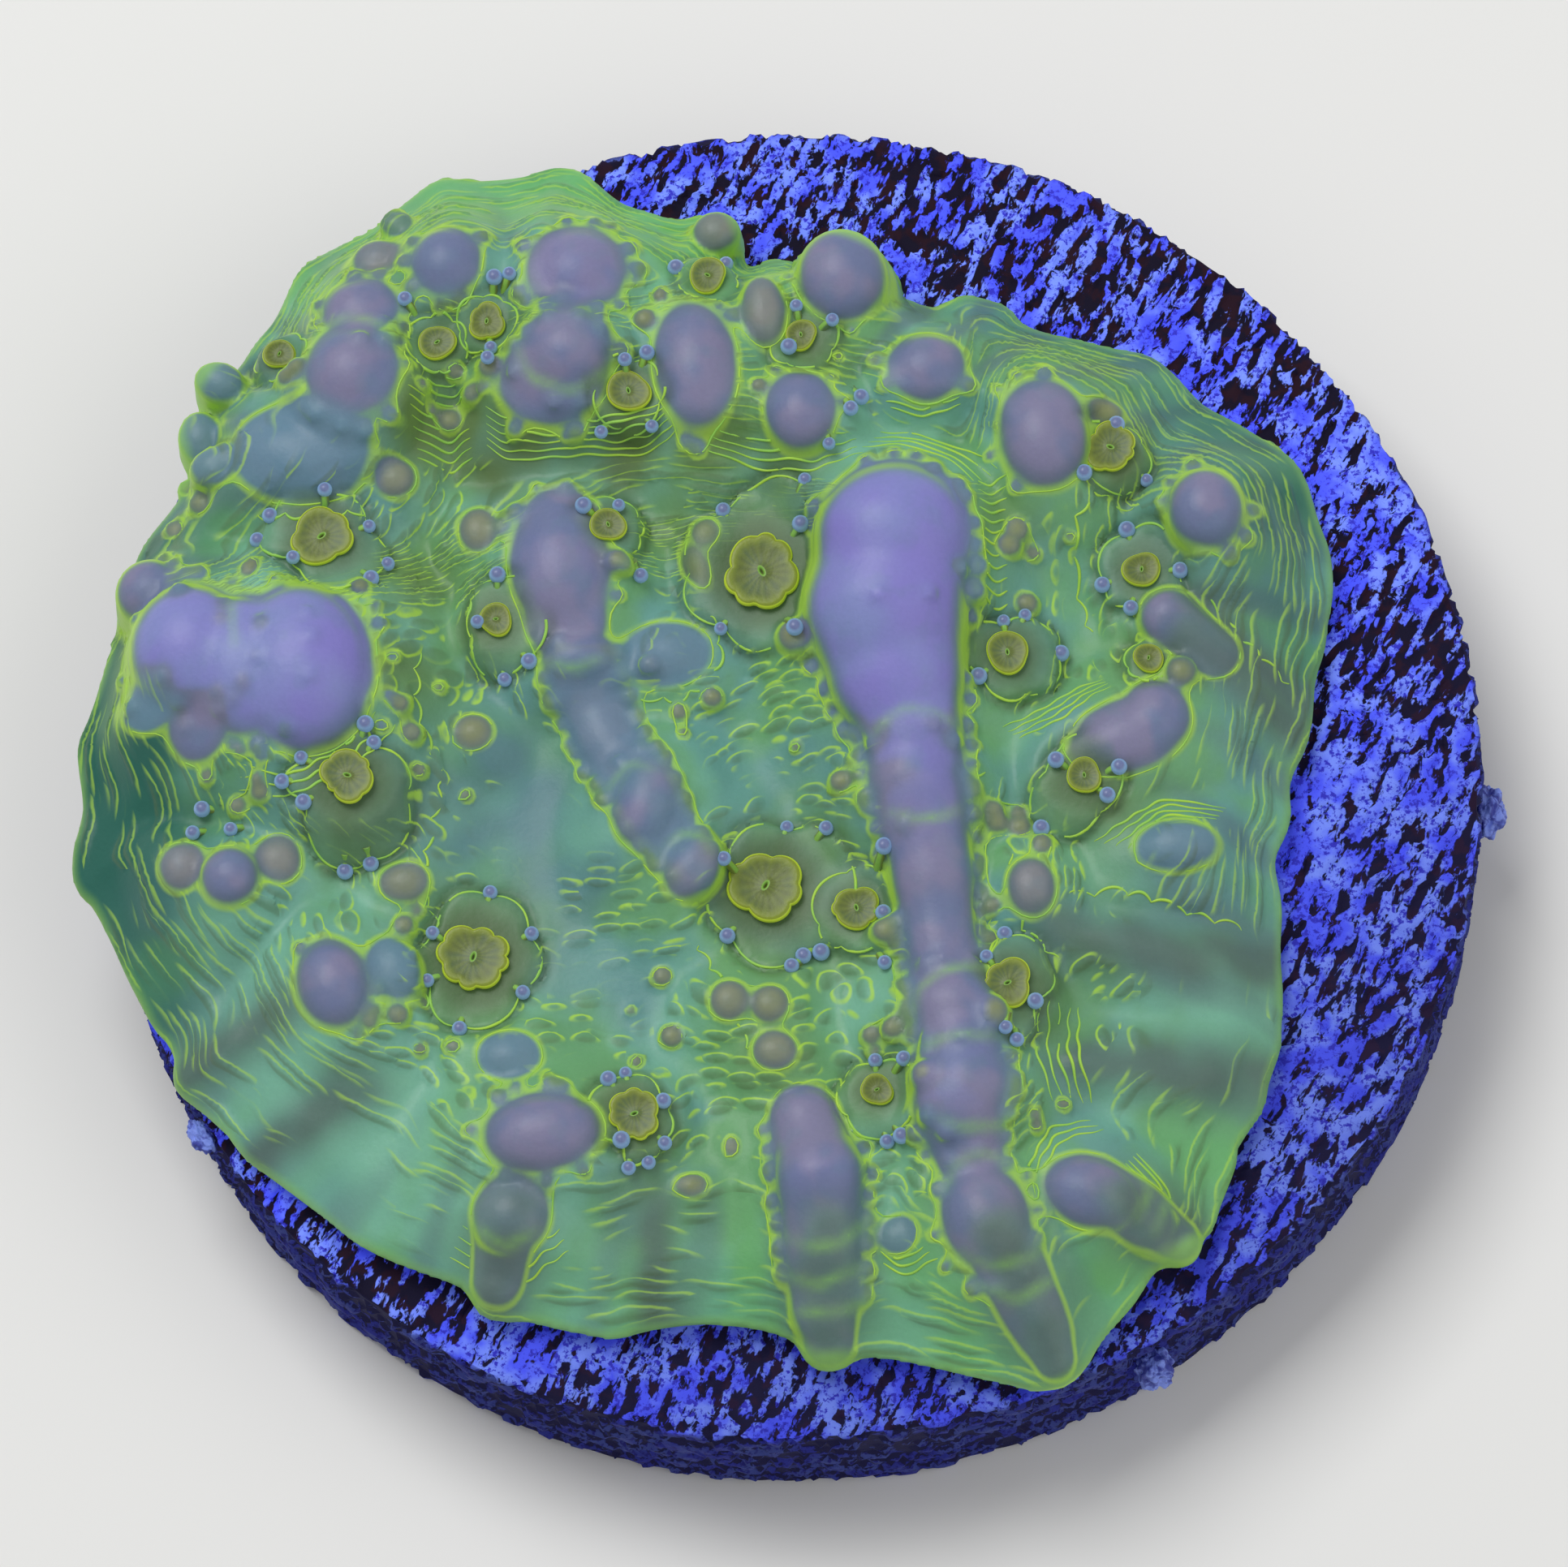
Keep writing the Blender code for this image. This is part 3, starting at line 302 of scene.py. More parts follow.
# Festoons: the first and the last line of a nest of growth lines, and how many lines it has.
FESTOONS = {
    "crown_foot": (
        [(-6.2, 8.6), (-5.7, 8.1), (-4.6, 7.8), (-3.4, 7.8), (-2.4, 7.8), (-1.6, 8.1)],
        [(-6.3, 7.7), (-5.8, 7.2), (-4.8, 7.1), (-3.6, 7.1), (-2.3, 6.9), (-1.5, 7.3)], 6,
    ),
    "gully": (
        [(-7.9, 9.5), (-7.2, 9.25), (-6.5, 9.4)], [(-7.9, 7.5), (-7.1, 7.2), (-6.5, 7.5)], 10,
    ),
    "west_slope": ([(-10.2, 9.0), (-9.2, 8.85), (-8.3, 9.2)], [(-10.6, 8.1), (-9.2, 7.9), (-8.2, 8.4)], 4),
    "crown_round_foot": (
        [(-1.1, 7.3), (0.2, 6.9), (1.2, 6.6), (2.4, 6.9)],
        [(-1.4, 6.8), (0.1, 6.2), (1.3, 5.9), (2.6, 6.2)], 4,
    ),
    "crown_east_foot": ([(3.0, 7.6), (3.9, 7.3), (4.9, 7.5)], [(3.2, 7.3), (4.0, 7.05), (4.9, 7.25)], 2),
    "head_arcs": (
        [(2.3, 6.5), (3.4, 6.5), (4.4, 6.0), (5.0, 5.2)], [(2.9, 7.1), (3.9, 7.0), (5.0, 6.4), (5.7, 5.7)], 4,
    ),
    "head_ladder": ([(4.95, 5.5), (5.25, 5.3), (5.7, 5.5)], [(4.75, 2.4), (5.05, 2.25), (5.4, 2.4)], 12),
    "spine_ladder": ([(3.95, 0.9), (4.15, 0.8), (4.4, 0.95)], [(4.05, -2.2), (4.2, -2.3), (4.45, -2.15)], 12),
    "mid_ridge_ladder": (
        [(-5.6, 1.6), (-5.45, 1.5), (-5.2, 1.6)], [(-3.4, -3.1), (-3.2, -3.3), (-2.9, -3.2)], 16,
    ),
    "east_mound_brow": (
        [(5.2, -0.6), (6.2, -0.3), (7.0, 0.2), (7.6, 0.4)],
        [(4.7, -0.2), (5.6, 0.2), (6.6, 0.6), (7.4, 0.7)], 4,
    ),
    "east_flat_brow": (
        [(7.3, -3.6), (8.3, -2.8), (9.6, -3.0)], [(6.4, -3.2), (8.4, -2.2), (10.0, -2.6)], 4,
    ),
    "button_foot": (
        [(0.7, -11.9), (1.1, -12.45), (1.8, -12.3)], [(0.8, -12.7), (1.3, -13.0), (2.3, -12.8)], 3,
    ),
    "south_east_end": (
        [(6.4, -10.9), (6.9, -11.5), (6.6, -12.2)], [(6.8, -10.5), (7.6, -11.6), (7.2, -12.6)], 4,
    ),
    "spine_east_rows": (
        [(5.0, -6.9), (4.8, -8.2), (5.1, -9.4)], [(6.1, -6.9), (5.9, -8.2), (6.1, -9.4)], 5,
    ),
    "south_east_nest": (
        [(5.9, -9.7), (4.9, -9.9), (4.3, -10.8), (4.4, -11.6)],
        [(6.3, -10.1), (5.2, -10.4), (4.7, -11.1), (4.8, -11.6)], 3,
    ),
    "south_dome_foot": (
        [(-8.4, -10.2), (-7.5, -11.3), (-6.4, -10.4)], [(-9.2, -11.2), (-7.7, -12.3), (-6.0, -11.6)], 5,
    ),
    "west_twin_foot": (
        [(-12.6, 0.5), (-11.4, 0.1), (-10.2, 0.5), (-9.2, 1.4)],
        [(-12.8, -0.2), (-11.4, -0.5), (-9.8, -0.2), (-8.6, 1.0)], 3,
    ),
}

# Soft lime creases where one lobe lies over the next: points along each one.
CREASES = [
    [(-1.4, -11.6), (-0.9, -12.1), (-0.1, -12.1), (0.8, -11.3)],
    [(-1.6, -12.4), (-0.7, -12.9), (0.5, -12.5)],
    [(-1.4, -13.3), (-0.5, -13.5), (0.6, -13.2)],
    [(2.4, -12.6), (3.2, -13.1), (4.2, -12.9), (4.8, -12.1)],
    [(2.7, -13.3), (3.7, -13.8), (4.9, -13.2)],
    [(6.5, -10.9), (7.0, -11.5), (6.5, -12.3)],
    [(6.9, -10.9), (7.4, -11.7), (6.9, -12.6)],
    [(-8.4, -10.6), (-7.6, -11.3), (-6.6, -10.9)],
    [(2.1, -7.1), (2.3, -6.5), (3.0, -6.15), (3.8, -6.1), (4.2, -6.4)],
    [(2.15, -7.95), (3.0, -7.8), (3.6, -7.9), (4.25, -7.8)],
    [(2.3, -9.6), (2.9, -9.95), (3.8, -9.9), (4.25, -9.5)],
    [(2.3, -11.3), (2.7, -10.6), (3.5, -10.45), (4.2, -11.0)],
    [(-12.3, 4.5), (-12.35, 3.6), (-12.3, 2.9)],
    [(-5.25, 9.6), (-5.0, 8.75), (-4.1, 8.3), (-3.25, 8.7), (-3.0, 9.4)],
    [(-10.25, 10.0), (-9.8, 10.7), (-9.1, 10.95), (-8.4, 10.7), (-7.95, 10.0)],
    [(1.9, -0.5), (2.6, -0.1), (3.4, -0.2), (3.9, -0.5)],
    [(2.0, -2.3), (2.7, -2.65), (3.4, -2.6), (3.8, -2.3)],
    [(-4.3, -0.9), (-3.7, -0.3), (-3.0, -0.7)],
    [(-3.2, -2.5), (-2.6, -2.1), (-1.9, -2.5)],
    [(-5.5, 2.4), (-4.7, 2.0), (-3.9, 2.3)],
]

# Polyps: x, y, radius of the oral disc, radius of its cushion, lobes of the oral disc (0 is round).
POLYPS = {
    "flower": (-0.2, 3.9, 0.85, 1.74, 7),
    "dimple_a": (-6.4, 3.5, 0.38, 0.98, 0),
    "dimple_b": (-3.6, 5.4, 0.40, 0.72, 0),
    "cave_west": (-10.2, 5.9, 0.68, 1.32, 5),
    "saucer_west": (-10.1, -0.1, 0.59, 1.36, 6),
    "rosette": (-7.7, -4.3, 0.77, 1.62, 8),
    "rosette_mid": (-0.9, -3.4, 0.81, 1.60, 6),
    "rosette_mid_small": (1.1, -4.2, 0.51, 0.91, 5),
    "south_rosette": (-4.4, -8.6, 0.57, 1.10, 7),
    "button_east": (5.2, 1.4, 0.49, 1.06, 0),
    "button_north_east": (8.5, 3.1, 0.42, 1.13, 0),
    "button_low_east": (6.6, -1.8, 0.40, 1.25, 0),
    "knot_east": (8.1, 5.9, 0.57, 0.83, 6),
    "oval_south": (4.3, -6.6, 0.55, 1.13, 4),
    "crown_button_a": (-5.9, 10.5, 0.43, 0.64, 4),
    "crown_button_b": (-7.1, 10.2, 0.42, 0.64, 0),
    "crown_button_c": (-2.8, 8.3, 0.49, 0.76, 0),
    "crown_button_d": (1.3, 9.3, 0.36, 0.76, 0),
    "twin_button": (8.4, 0.9, 0.34, 0.49, 0),
    "pale_button": (1.1, -8.6, 0.36, 0.79, 0),
    "north_button": (-0.7, 11.2, 0.43, 0.64, 0),
    "north_west_button": (-10.8, 10.6, 0.36, 0.60, 0),
}

# Tentacle tips that stand around each polyp, and a few that stand alone.
TIPS = {
    "flower": [(-0.93, 5.60), (1.02, 5.88), (0.81, 4.91), (-1.28, 2.72), (0.41, 2.26)],
    "dimple_a": [(-6.26, 4.57), (-6.83, 3.49), (-5.74, 2.44), (-6.35, 2.19)],
    "dimple_b": [(-4.12, 5.92), (-3.31, 5.84), (-2.98, 4.19)],
    "cave_west": [
        (-11.71, 6.14), (-11.36, 6.64), (-10.02, 6.98), (-9.10, 6.09), (-8.76, 5.17), (-9.15, 4.69),
        (-10.90, 5.44),
    ],
    "saucer_west": [
        (-9.58, 1.08), (-9.43, 0.65), (-11.11, 0.45), (-11.60, -0.03), (-11.16, -0.56), (-10.43, -1.93),
        (-9.82, -1.86),
    ],
    "west_edge": [(-13.54, -0.18), (-13.80, -0.72), (-12.91, -0.82)],
    "rosette": [
        (-7.18, -2.74), (-6.33, -3.84), (-6.66, -5.22), (-8.17, -5.94), (-8.79, -4.74), (-8.57, -3.62),
    ],
    "rosette_mid": [
        (-1.78, -2.82), (-1.89, -4.46), (-0.27, -1.98), (0.62, -2.20), (1.88, -3.01), (1.60, -5.61),
        (0.19, -5.02), (-0.22, -5.08), (-0.51, -5.34), (1.70, -4.41),
    ],
    "south_rosette": [
        (-4.91, -7.67), (-4.51, -7.55), (-3.72, -8.35), (-3.79, -9.29), (-4.20, -9.68), (-4.66, -9.77),
        (-4.75, -9.18),
    ],
    "button_east": [(5.20, 2.20), (5.71, 2.32), (6.44, 1.45), (4.48, 0.93)],
    "button_north_east": [(8.28, 4.14), (9.38, 3.00), (7.57, 2.91), (8.15, 2.24)],
    "button_low_east": [(7.07, -2.34), (5.50, -2.79), (6.00, -1.37), (7.41, -1.71)],
    "knot_east": [(8.31, 6.47), (7.42, 5.30), (8.86, 5.21)],
    "oval_south": [(4.38, -5.28), (3.90, -5.89), (4.88, -7.07), (4.36, -7.94), (4.13, -7.68)],
    "crown": [
        (-5.62, 11.54), (-5.26, 11.56), (-7.73, 11.26), (-5.95, 9.45), (-5.86, 9.81), (-2.80, 9.00),
        (-2.28, 9.16), (-3.53, 7.54), (-2.35, 7.48), (1.27, 10.01), (2.06, 9.54), (0.99, 9.02),
        (2.25, 7.28), (2.52, 7.66), (1.66, 6.56), (-1.41, 11.58), (-0.24, 11.62),
    ],
    "pale_button": [(1.14, -7.88), (1.78, -8.01), (1.20, -9.76), (1.53, -9.74)],
}
TIP_SPOTS = [spot for group in TIPS.values() for spot in group]

# How leafy (1) or dim (-1) the tissue is towards the margin: bearing in degrees, strength.
BLUSH = [
    (-180, -1.0), (-150, 0.0), (-110, 0.4), (-70, 0.55), (-35, 0.35), (0, 0.0), (30, -0.5), (60, -0.4),
    (95, 0.9), (130, 0.4), (155, -0.6), (180, -1.0),
]

# ---------------------------------------------------------------- small helpers


def smoothstep(share):
    share = np.clip(share, 0.0, 1.0)
    return share * share * (3.0 - 2.0 * share)


def smooth_min(a, b, width):
    share = np.maximum(width - np.abs(a - b), 0.0) / width
    return np.minimum(a, b) - share * share * width * 0.25


def smooth_max(a, b, width):
    return -smooth_min(-a, -b, width)


def linear(red, green, blue):
    """A colour given as 0 to 255 screen values, as the shader's linear values."""
    values = []
    for level in (red, green, blue):
        share = level / 255.0
        values.append(share / 12.92 if share <= 0.04045 else ((share + 0.055) / 1.055) ** 2.4)
    return (*values, 1.0)


def spans(stations):
    """The stretches between neighbouring stations."""
    return zip(stations, stations[1:])


def turned(along, across, angle):
    """Two distances, measured instead along axes that are turned by an angle."""
    cosine, sine = math.cos(angle), math.sin(angle)
    return along * cosine + across * sine, across * cosine - along * sine


def beside(x, y, start, end):
    """For each point, the share of the way along a line that is nearest to it, and its distance."""
    dx, dy = end[0] - start[0], end[1] - start[1]
    ox, oy = x - start[0], y - start[1]
    share = np.clip((ox * dx + oy * dy) / (dx * dx + dy * dy), 0, 1)
    return share, np.hypot(ox - dx * share, oy - dy * share)


def beside_span(x, y, start, end):
    """For each point, its distance from the line of a ridge's span, and the half-width and top there."""
    share, distance = beside(x, y, start, end)
    half, top = (start[k] + (end[k] - start[k]) * share for k in (2, 3))
    return distance, half, top


def distances_along(points):
    """How far along a line each of its points is."""
    return np.concatenate([[0.0], np.cumsum(np.hypot(*np.diff(points, axis=0).T))])


def closed_curve(points, spacing, parts=16):
    """Evenly spaced points on a closed Catmull-Rom curve through the given ones."""
    ring = np.array(points, dtype=float)
    before, after, beyond = np.roll(ring, 1, 0), np.roll(ring, -1, 0), np.roll(ring, -2, 0)
    t = (np.arange(parts) / parts)[None, :, None]
    fine = 0.5 * (
        2 * ring[:, None] + (after - before)[:, None] * t
        + (2 * before - 5 * ring + 4 * after - beyond)[:, None] * t**2
        + (3 * ring - before - 3 * after + beyond)[:, None] * t**3
    )
    fine = fine.reshape(-1, 2)
    fine = np.vstack([fine, fine[:1]])
    run = distances_along(fine)
    stops = np.arange(0.0, run[-1], run[-1] / round(run[-1] / spacing))
    return np.stack([np.interp(stops, run, fine[:, k]) for k in (0, 1)], axis=1)


def wander(x, y, scale, seed=0.0):
    """Smooth noise between about -1 and 1 over points of the plan."""
    flat = zip(np.ravel(x) / scale, np.ravel(y) / scale)
    values = [noise.noise(Vector((u, v, seed))) for u, v in flat]
    return np.array(values).reshape(np.shape(x))


def blur(field, passes):
    for _ in range(passes):
        field = np.pad(field, 1, mode="edge")
        sides = field[:-2, 1:-1] + field[2:, 1:-1] + field[1:-1, :-2] + field[1:-1, 2:]
        field = (sides + 4 * field[1:-1, 1:-1]) / 8
    return field


RUN_SPACING = 0.06
CORNER_PASSES = 30


def smooth_run(stations):
    """A line through the stations with soft corners, as closely spaced points and their distances along."""
    points = np.array(stations)
    run = distances_along(points)
    stops = np.arange(0.0, run[-1], RUN_SPACING)
    passes = min(CORNER_PASSES, len(stops) // 2)
    return np.stack([blur(np.interp(stops, run, row)[:, None], passes)[:, 0] for row in points.T]), stops


def nest_sides(first, last):
    """The first and the last line of a nest, as the same number of closely spaced points."""
    (a, _), (b, _) = smooth_run(first), smooth_run(last)
    share = np.linspace(0.0, 1.0, max(a.shape[1], b.shape[1]))
    return [np.stack([np.interp(share, np.linspace(0, 1, k.shape[1]), row) for row in k]) for k in (a, b)]


WART_RADII = (0.17, 0.33)
BUD_SPACING = 0.5
BUD_RADII = (0.16, 0.27)
BULB_BUD_SPACING = 0.52
BULB_BUD_GAPS = 0.35
BULB_BUD_RADII = (0.15, 0.26)
BUDDED_RIDGES = ("spine", "mid_ridge", "south_ridge")


def small_bulb(x, y, radius):
    """A wart or bud in the form that the bulbs have; its top is set later."""
    return x, y, radius, radius, 0, 0


def warts():
    """Small round warts crowded together, as bulbs."""
    random = np.random.default_rng(SEED + 7)
    crowd = []
    for x, y, reach, count in WART_PLACES:
        for _ in range(count):
            radius = random.uniform(*WART_RADII)
            scatter = 0.7 * reach
            crowd.append(small_bulb(x + scatter * random.normal(), y + scatter * random.normal(), radius))
    return crowd


def buds_beside(start, end, random):
    """Small buds along both flanks of a ridge's span."""
    (ax, ay, a_half, _), (bx, by, b_half, _) = start, end
    length = math.hypot(bx - ax, by - ay)
    across = ((by - ay) / length, -(bx - ax) / length)
    buds = []
    for side in (-1, 1):
        for share in np.arange(0.0, length, BUD_SPACING) / length:
            out = (a_half + (b_half - a_half) * share) * random.uniform(1.02, 1.16) * side
            x, y = ax + (bx - ax) * share + across[0] * out, ay + (by - ay) * share + across[1] * out
            buds.append(small_bulb(x, y, random.uniform(*BUD_RADII)))
    return buds


def buds_around(bulb, random):
    """Small buds round a bulb's foot, with gaps."""
    cx, cy, half_x, half_y, _, _ = bulb
    count = int(math.tau * half_x / BULB_BUD_SPACING)
    buds = []
    for k in range(count):
        if random.random() < BULB_BUD_GAPS:
            continue
        bearing = math.tau * (k + random.uniform(-0.3, 0.3)) / count
        out = random.uniform(1.08, 1.22)
        x, y = cx + half_x * out * math.cos(bearing), cy + half_y * out * math.sin(bearing)
        buds.append(small_bulb(x, y, random.uniform(*BULB_BUD_RADII)))
    return buds


def ridge_buds():
    """Small buds along the foot of each tall ridge and bulb, as bulbs."""
    random = np.random.default_rng(SEED + 3)
    buds = []
    for name in BUDDED_RIDGES:
        for span in spans(RIDGES[name]):
            buds += buds_beside(*span, random)
    for name, bulb in BULBS.items():
        if min(bulb[2:4]) >= 0.8 and bulb[5] >= 3.0 and name not in TEAL_BULBS:
            buds += buds_around(bulb, random)
    return buds


# The lobes of a cushion's edge: the angle of one, the points in it, its bulge and the edge's limits,
# both as shares of the cushion's radius.
LOBE_ANGLE = 1.15
LOBE_POINTS = 16
LOBE_BULGE = 0.15
EDGE_LIMITS = (0.7, 1.35)


def calyx_outline(name):
    """The scalloped edge of a polyp's cushion: bearings, radii and how far each point is from a notch."""
    x, y, _, cup, _ = POLYPS[name]
    near = [(u - x, v - y) for u, v in TIPS.get(name, []) if math.hypot(u - x, v - y) < 1.5 * cup]
    stops = sorted((math.atan2(v, u), math.hypot(u, v) - 0.12) for u, v in near)
    if len(stops) < 3:
        stops = [(math.tau * k / 5 - math.pi + 0.3 * math.sin(9 * k + x), cup) for k in range(5)]
    stops.append((stops[0][0] + math.tau, stops[0][1]))
    filled = []
    for (start, low), (end, high) in spans(stops):
        parts = max(1, round((end - start) / LOBE_ANGLE))
        for k in range(parts):
            radius = low + (high - low) * k / parts
            filled.append((start + (end - start) * k / parts, radius if k == 0 else 0.5 * (radius + cup)))
    filled.append((filled[0][0] + math.tau, filled[0][1]))
    points = []
    for (start, low), (end, high) in spans(filled):
        for t in np.linspace(0, 1, LOBE_POINTS, endpoint=False):
            bulge = math.sin(math.pi * t) ** 0.8
            swell = LOBE_BULGE * cup * bulge * min(1.0, end - start)
            points.append((start + (end - start) * t, low + (high - low) * smoothstep(t) + swell, bulge))
    turns, radii, off_notch = np.array(points).T
    return turns, np.clip(radii, *(limit * cup for limit in EDGE_LIMITS)), off_notch


OUTLINES = {name: calyx_outline(name) for name in POLYPS}

# ---------------------------------------------------------------- the colony's plan


class Plan:
    """Fields over the colony seen from above, on a square grid."""

    STEP = 0.127
    LOW = (-17.8, -16.6)
    HIGH = (14.0, 16.5)
    MARGIN_SPACING = 0.35
    GROWTH_CENTRE = (-2.0, 2.5)
    GROWTH_REACH = 15.0
    PLEATS = 46.0
    PLATE_EDGE = 0.72
    PLATE_RISE = 0.75
    SHOULDER = 0.68
    RIDGE_SHOULDER = 0.44
    RIDGE_TINT = 0.2
    RIDGE_TEAL = 0.7
    FOLD_TINT_WIDTH = 0.75
    CUSHION_RISE = 0.11
    GROOVE_DEPTH = 0.12
    CREASE_WIDTH = 0.095
    STREAK_BELT = 3.6

    def __init__(self):
        self.xs = np.arange(self.LOW[0], self.HIGH[0], self.STEP)
        self.ys = np.arange(self.LOW[1], self.HIGH[1], self.STEP)
        self.x, self.y = np.meshgrid(self.xs, self.ys, indexing="ij")
        self.inset = self.inset_from_margin()
        self.cup, self.groove = self.cushion_shares()
        self.pleats = self.radial_folds()
        self.blush = self.margin_blush()
        self.top = self.plate_top()
        self.buds, self.warts = [], []
        self.buds = self.off_cushions(ridge_buds(), self.inset, 0.8)
        self.warts = self.off_cushions(warts(), -self.hills()[0], 0.12)
        self.within, self.girth, self.teal = self.hills()
        self.bottom = 0.02 + 0.28 * smoothstep(1.0 - self.inset / 1.3)

    def sample(self, field, x, y):
        """The field's value at any points, by bilinear reading."""
        u = np.clip((np.asarray(x) - self.LOW[0]) / self.STEP, 0, field.shape[0] - 1.001)
        v = np.clip((np.asarray(y) - self.LOW[1]) / self.STEP, 0, field.shape[1] - 1.001)
        i, j = u.astype(int), v.astype(int)
        u, v = u - i, v - j
        return (
            field[i, j] * (1 - u) * (1 - v) + field[i + 1, j] * u * (1 - v)
            + field[i, j + 1] * (1 - u) * v + field[i + 1, j + 1] * u * v
        )

    def off_cushions(self, bulbs, field, least):
        """The bulbs that stand clear of the polyps, where a field is over a least value."""
        spots = [(bulb, bulb[:2]) for bulb in bulbs]
        return [b for b, at in spots if self.sample(self.cup, *at) < 0.3 and self.sample(field, *at) > least]

    def reach_from(self, x, y):
        return np.hypot(self.x - x, self.y - y)

    def bearing_from(self, x, y):
        return np.arctan2(self.y - y, self.x - x)

    def nearness(self, x, y, spread):
        """1 at a place, falling off smoothly round it."""
        return np.exp(-((self.x - x) ** 2 + (self.y - y) ** 2) / spread**2)

    def wander(self, scale, seed):
        return wander(self.x, self.y, scale, seed)

    def inset_from_margin(self):
        """Distance in from the margin, negative outside."""
        ring = closed_curve(MARGIN, self.MARGIN_SPACING)
        nearest = np.full(self.x.shape, np.inf)
        inside = np.zeros(self.x.shape, dtype=bool)
        for start, end in zip(ring, np.roll(ring, -1, 0)):
            nearest = np.minimum(nearest, beside(self.x, self.y, start, end)[1])
            (ax, ay), (bx, by) = start, end
            if ay != by:
                crosses = (self.y >= min(ay, by)) & (self.y < max(ay, by))
                inside ^= crosses & (self.x < ax + (self.y - ay) * (bx - ax) / (by - ay))
        return np.where(inside, nearest, -nearest)

    def cushion_shares(self):
        """How far a point is on a polyp's cushion and in the groove round it, both 0 to 1."""
        cushion, groove = np.zeros(self.x.shape), np.zeros(self.x.shape)
        for name, polyp in POLYPS.items():
            turns, radii, _ = OUTLINES[name]
            edge = np.interp(self.bearing_from(*polyp[:2]), turns, radii, period=math.tau)
            out = self.reach_from(*polyp[:2]) - edge
            cushion = np.maximum(cushion, smoothstep(0.5 - out / 0.22))
            groove = np.maximum(groove, np.exp(-((out - 0.10) / 0.13) ** 2))
        return cushion, groove

    def reach_of_bulb(self, bulb):
        """Distance from a bulb's middle, in its half-widths."""
        cx, cy, half_x, half_y, turn, _ = bulb
        u, v = turned(self.x - cx, self.y - cy, math.radians(turn))
        return np.hypot(u / half_x, v / half_y)

    def reach_of_span(self, start, end):
        """Distance from a span of a ridge in half-widths, with the half-width and top there."""
        distance, half, top = beside_span(self.x, self.y, start, end)
        return distance / half, half, top

    def reach_of_lines(self, lines):
        """The same for every span of some ridges or folds, one after the other."""
        for stations in lines:
            for span in spans(stations):
                yield self.reach_of_span(*span)

    def radial_folds(self):
        """Soft pleats that fan out to the margin, -1 to 1."""
        pleats = np.sin(self.PLEATS * self.bearing_from(*self.GROWTH_CENTRE) + 3.0 * self.wander(4.0, 9.0))
        return pleats * smoothstep(1.0 - self.inset / 6.0) * (0.65 + 0.6 * self.wander(4.0, 2.0))

    def margin_blush(self):
        """How leafy (1) or dim (-1) the tissue is towards the margin."""
        bearing = np.degrees(self.bearing_from(0.0, 0.0))
        return np.interp(bearing, *np.array(BLUSH).T) * smoothstep(1.15 - self.inset / 3.4)

    def raise_aprons(self, plate):
        """The plate swells up round each bulb and ridge, so they stand on shoulders."""
        apron = np.zeros(self.x.shape)

        def shoulder(share, reach, half, top):
            spread = 0.75 + 0.55 / np.maximum(half, 0.4)
            return (top - 1.3) * share * np.exp(-(np.maximum(reach - 0.8, 0.0) / spread) ** 2)

        for bulb in BULBS.values():
            reach = self.reach_of_bulb(bulb)
            apron = np.maximum(apron, shoulder(self.SHOULDER, reach, min(bulb[2:4]), bulb[5]))
        for ridge in self.reach_of_lines(RIDGES.values()):
            apron = np.maximum(apron, shoulder(self.RIDGE_SHOULDER, *ridge))
        folds = np.zeros(self.x.shape)
        for reach, _, rise in self.reach_of_lines(FOLDS.values()):
            folds = np.maximum(folds, rise * np.exp(-(reach**2)))
        apron = smooth_max(blur(apron, 5), blur(folds, 3), 0.4)
        apron = smooth_max(plate, self.PLATE_EDGE + 0.5 * plate + apron, 0.3) - plate
        return plate + apron * smoothstep(self.inset / 1.6)

    def plate_top(self):
        """The plate's height without its bulbs and ridges."""
        top = self.PLATE_EDGE + self.PLATE_RISE * smoothstep(self.inset / 4.5)
        top += 0.14 * self.wander(3.2, 5.0) * smoothstep(self.inset / 2.0)
        top += 0.07 * self.pleats
        foot = np.interp(self.x, *np.array(CROWN_FOOT).T) + 0.25 * self.wander(0.9, 13.0)
        top += CROWN_RISE * smoothstep((self.y - blur(foot, 4)) / 0.9) * smoothstep(self.inset / 3.2)
        top = self.raise_aprons(top)
        for cx, cy, _, cup, _ in POLYPS.values():
            level = float(self.sample(top, cx, cy))
            top += (level - top) * 0.85 * smoothstep((1.35 - self.reach_from(cx, cy) / cup) / 0.6)
        return top + self.CUSHION_RISE * self.cup - self.GROOVE_DEPTH * self.groove * (1.0 - self.cup)

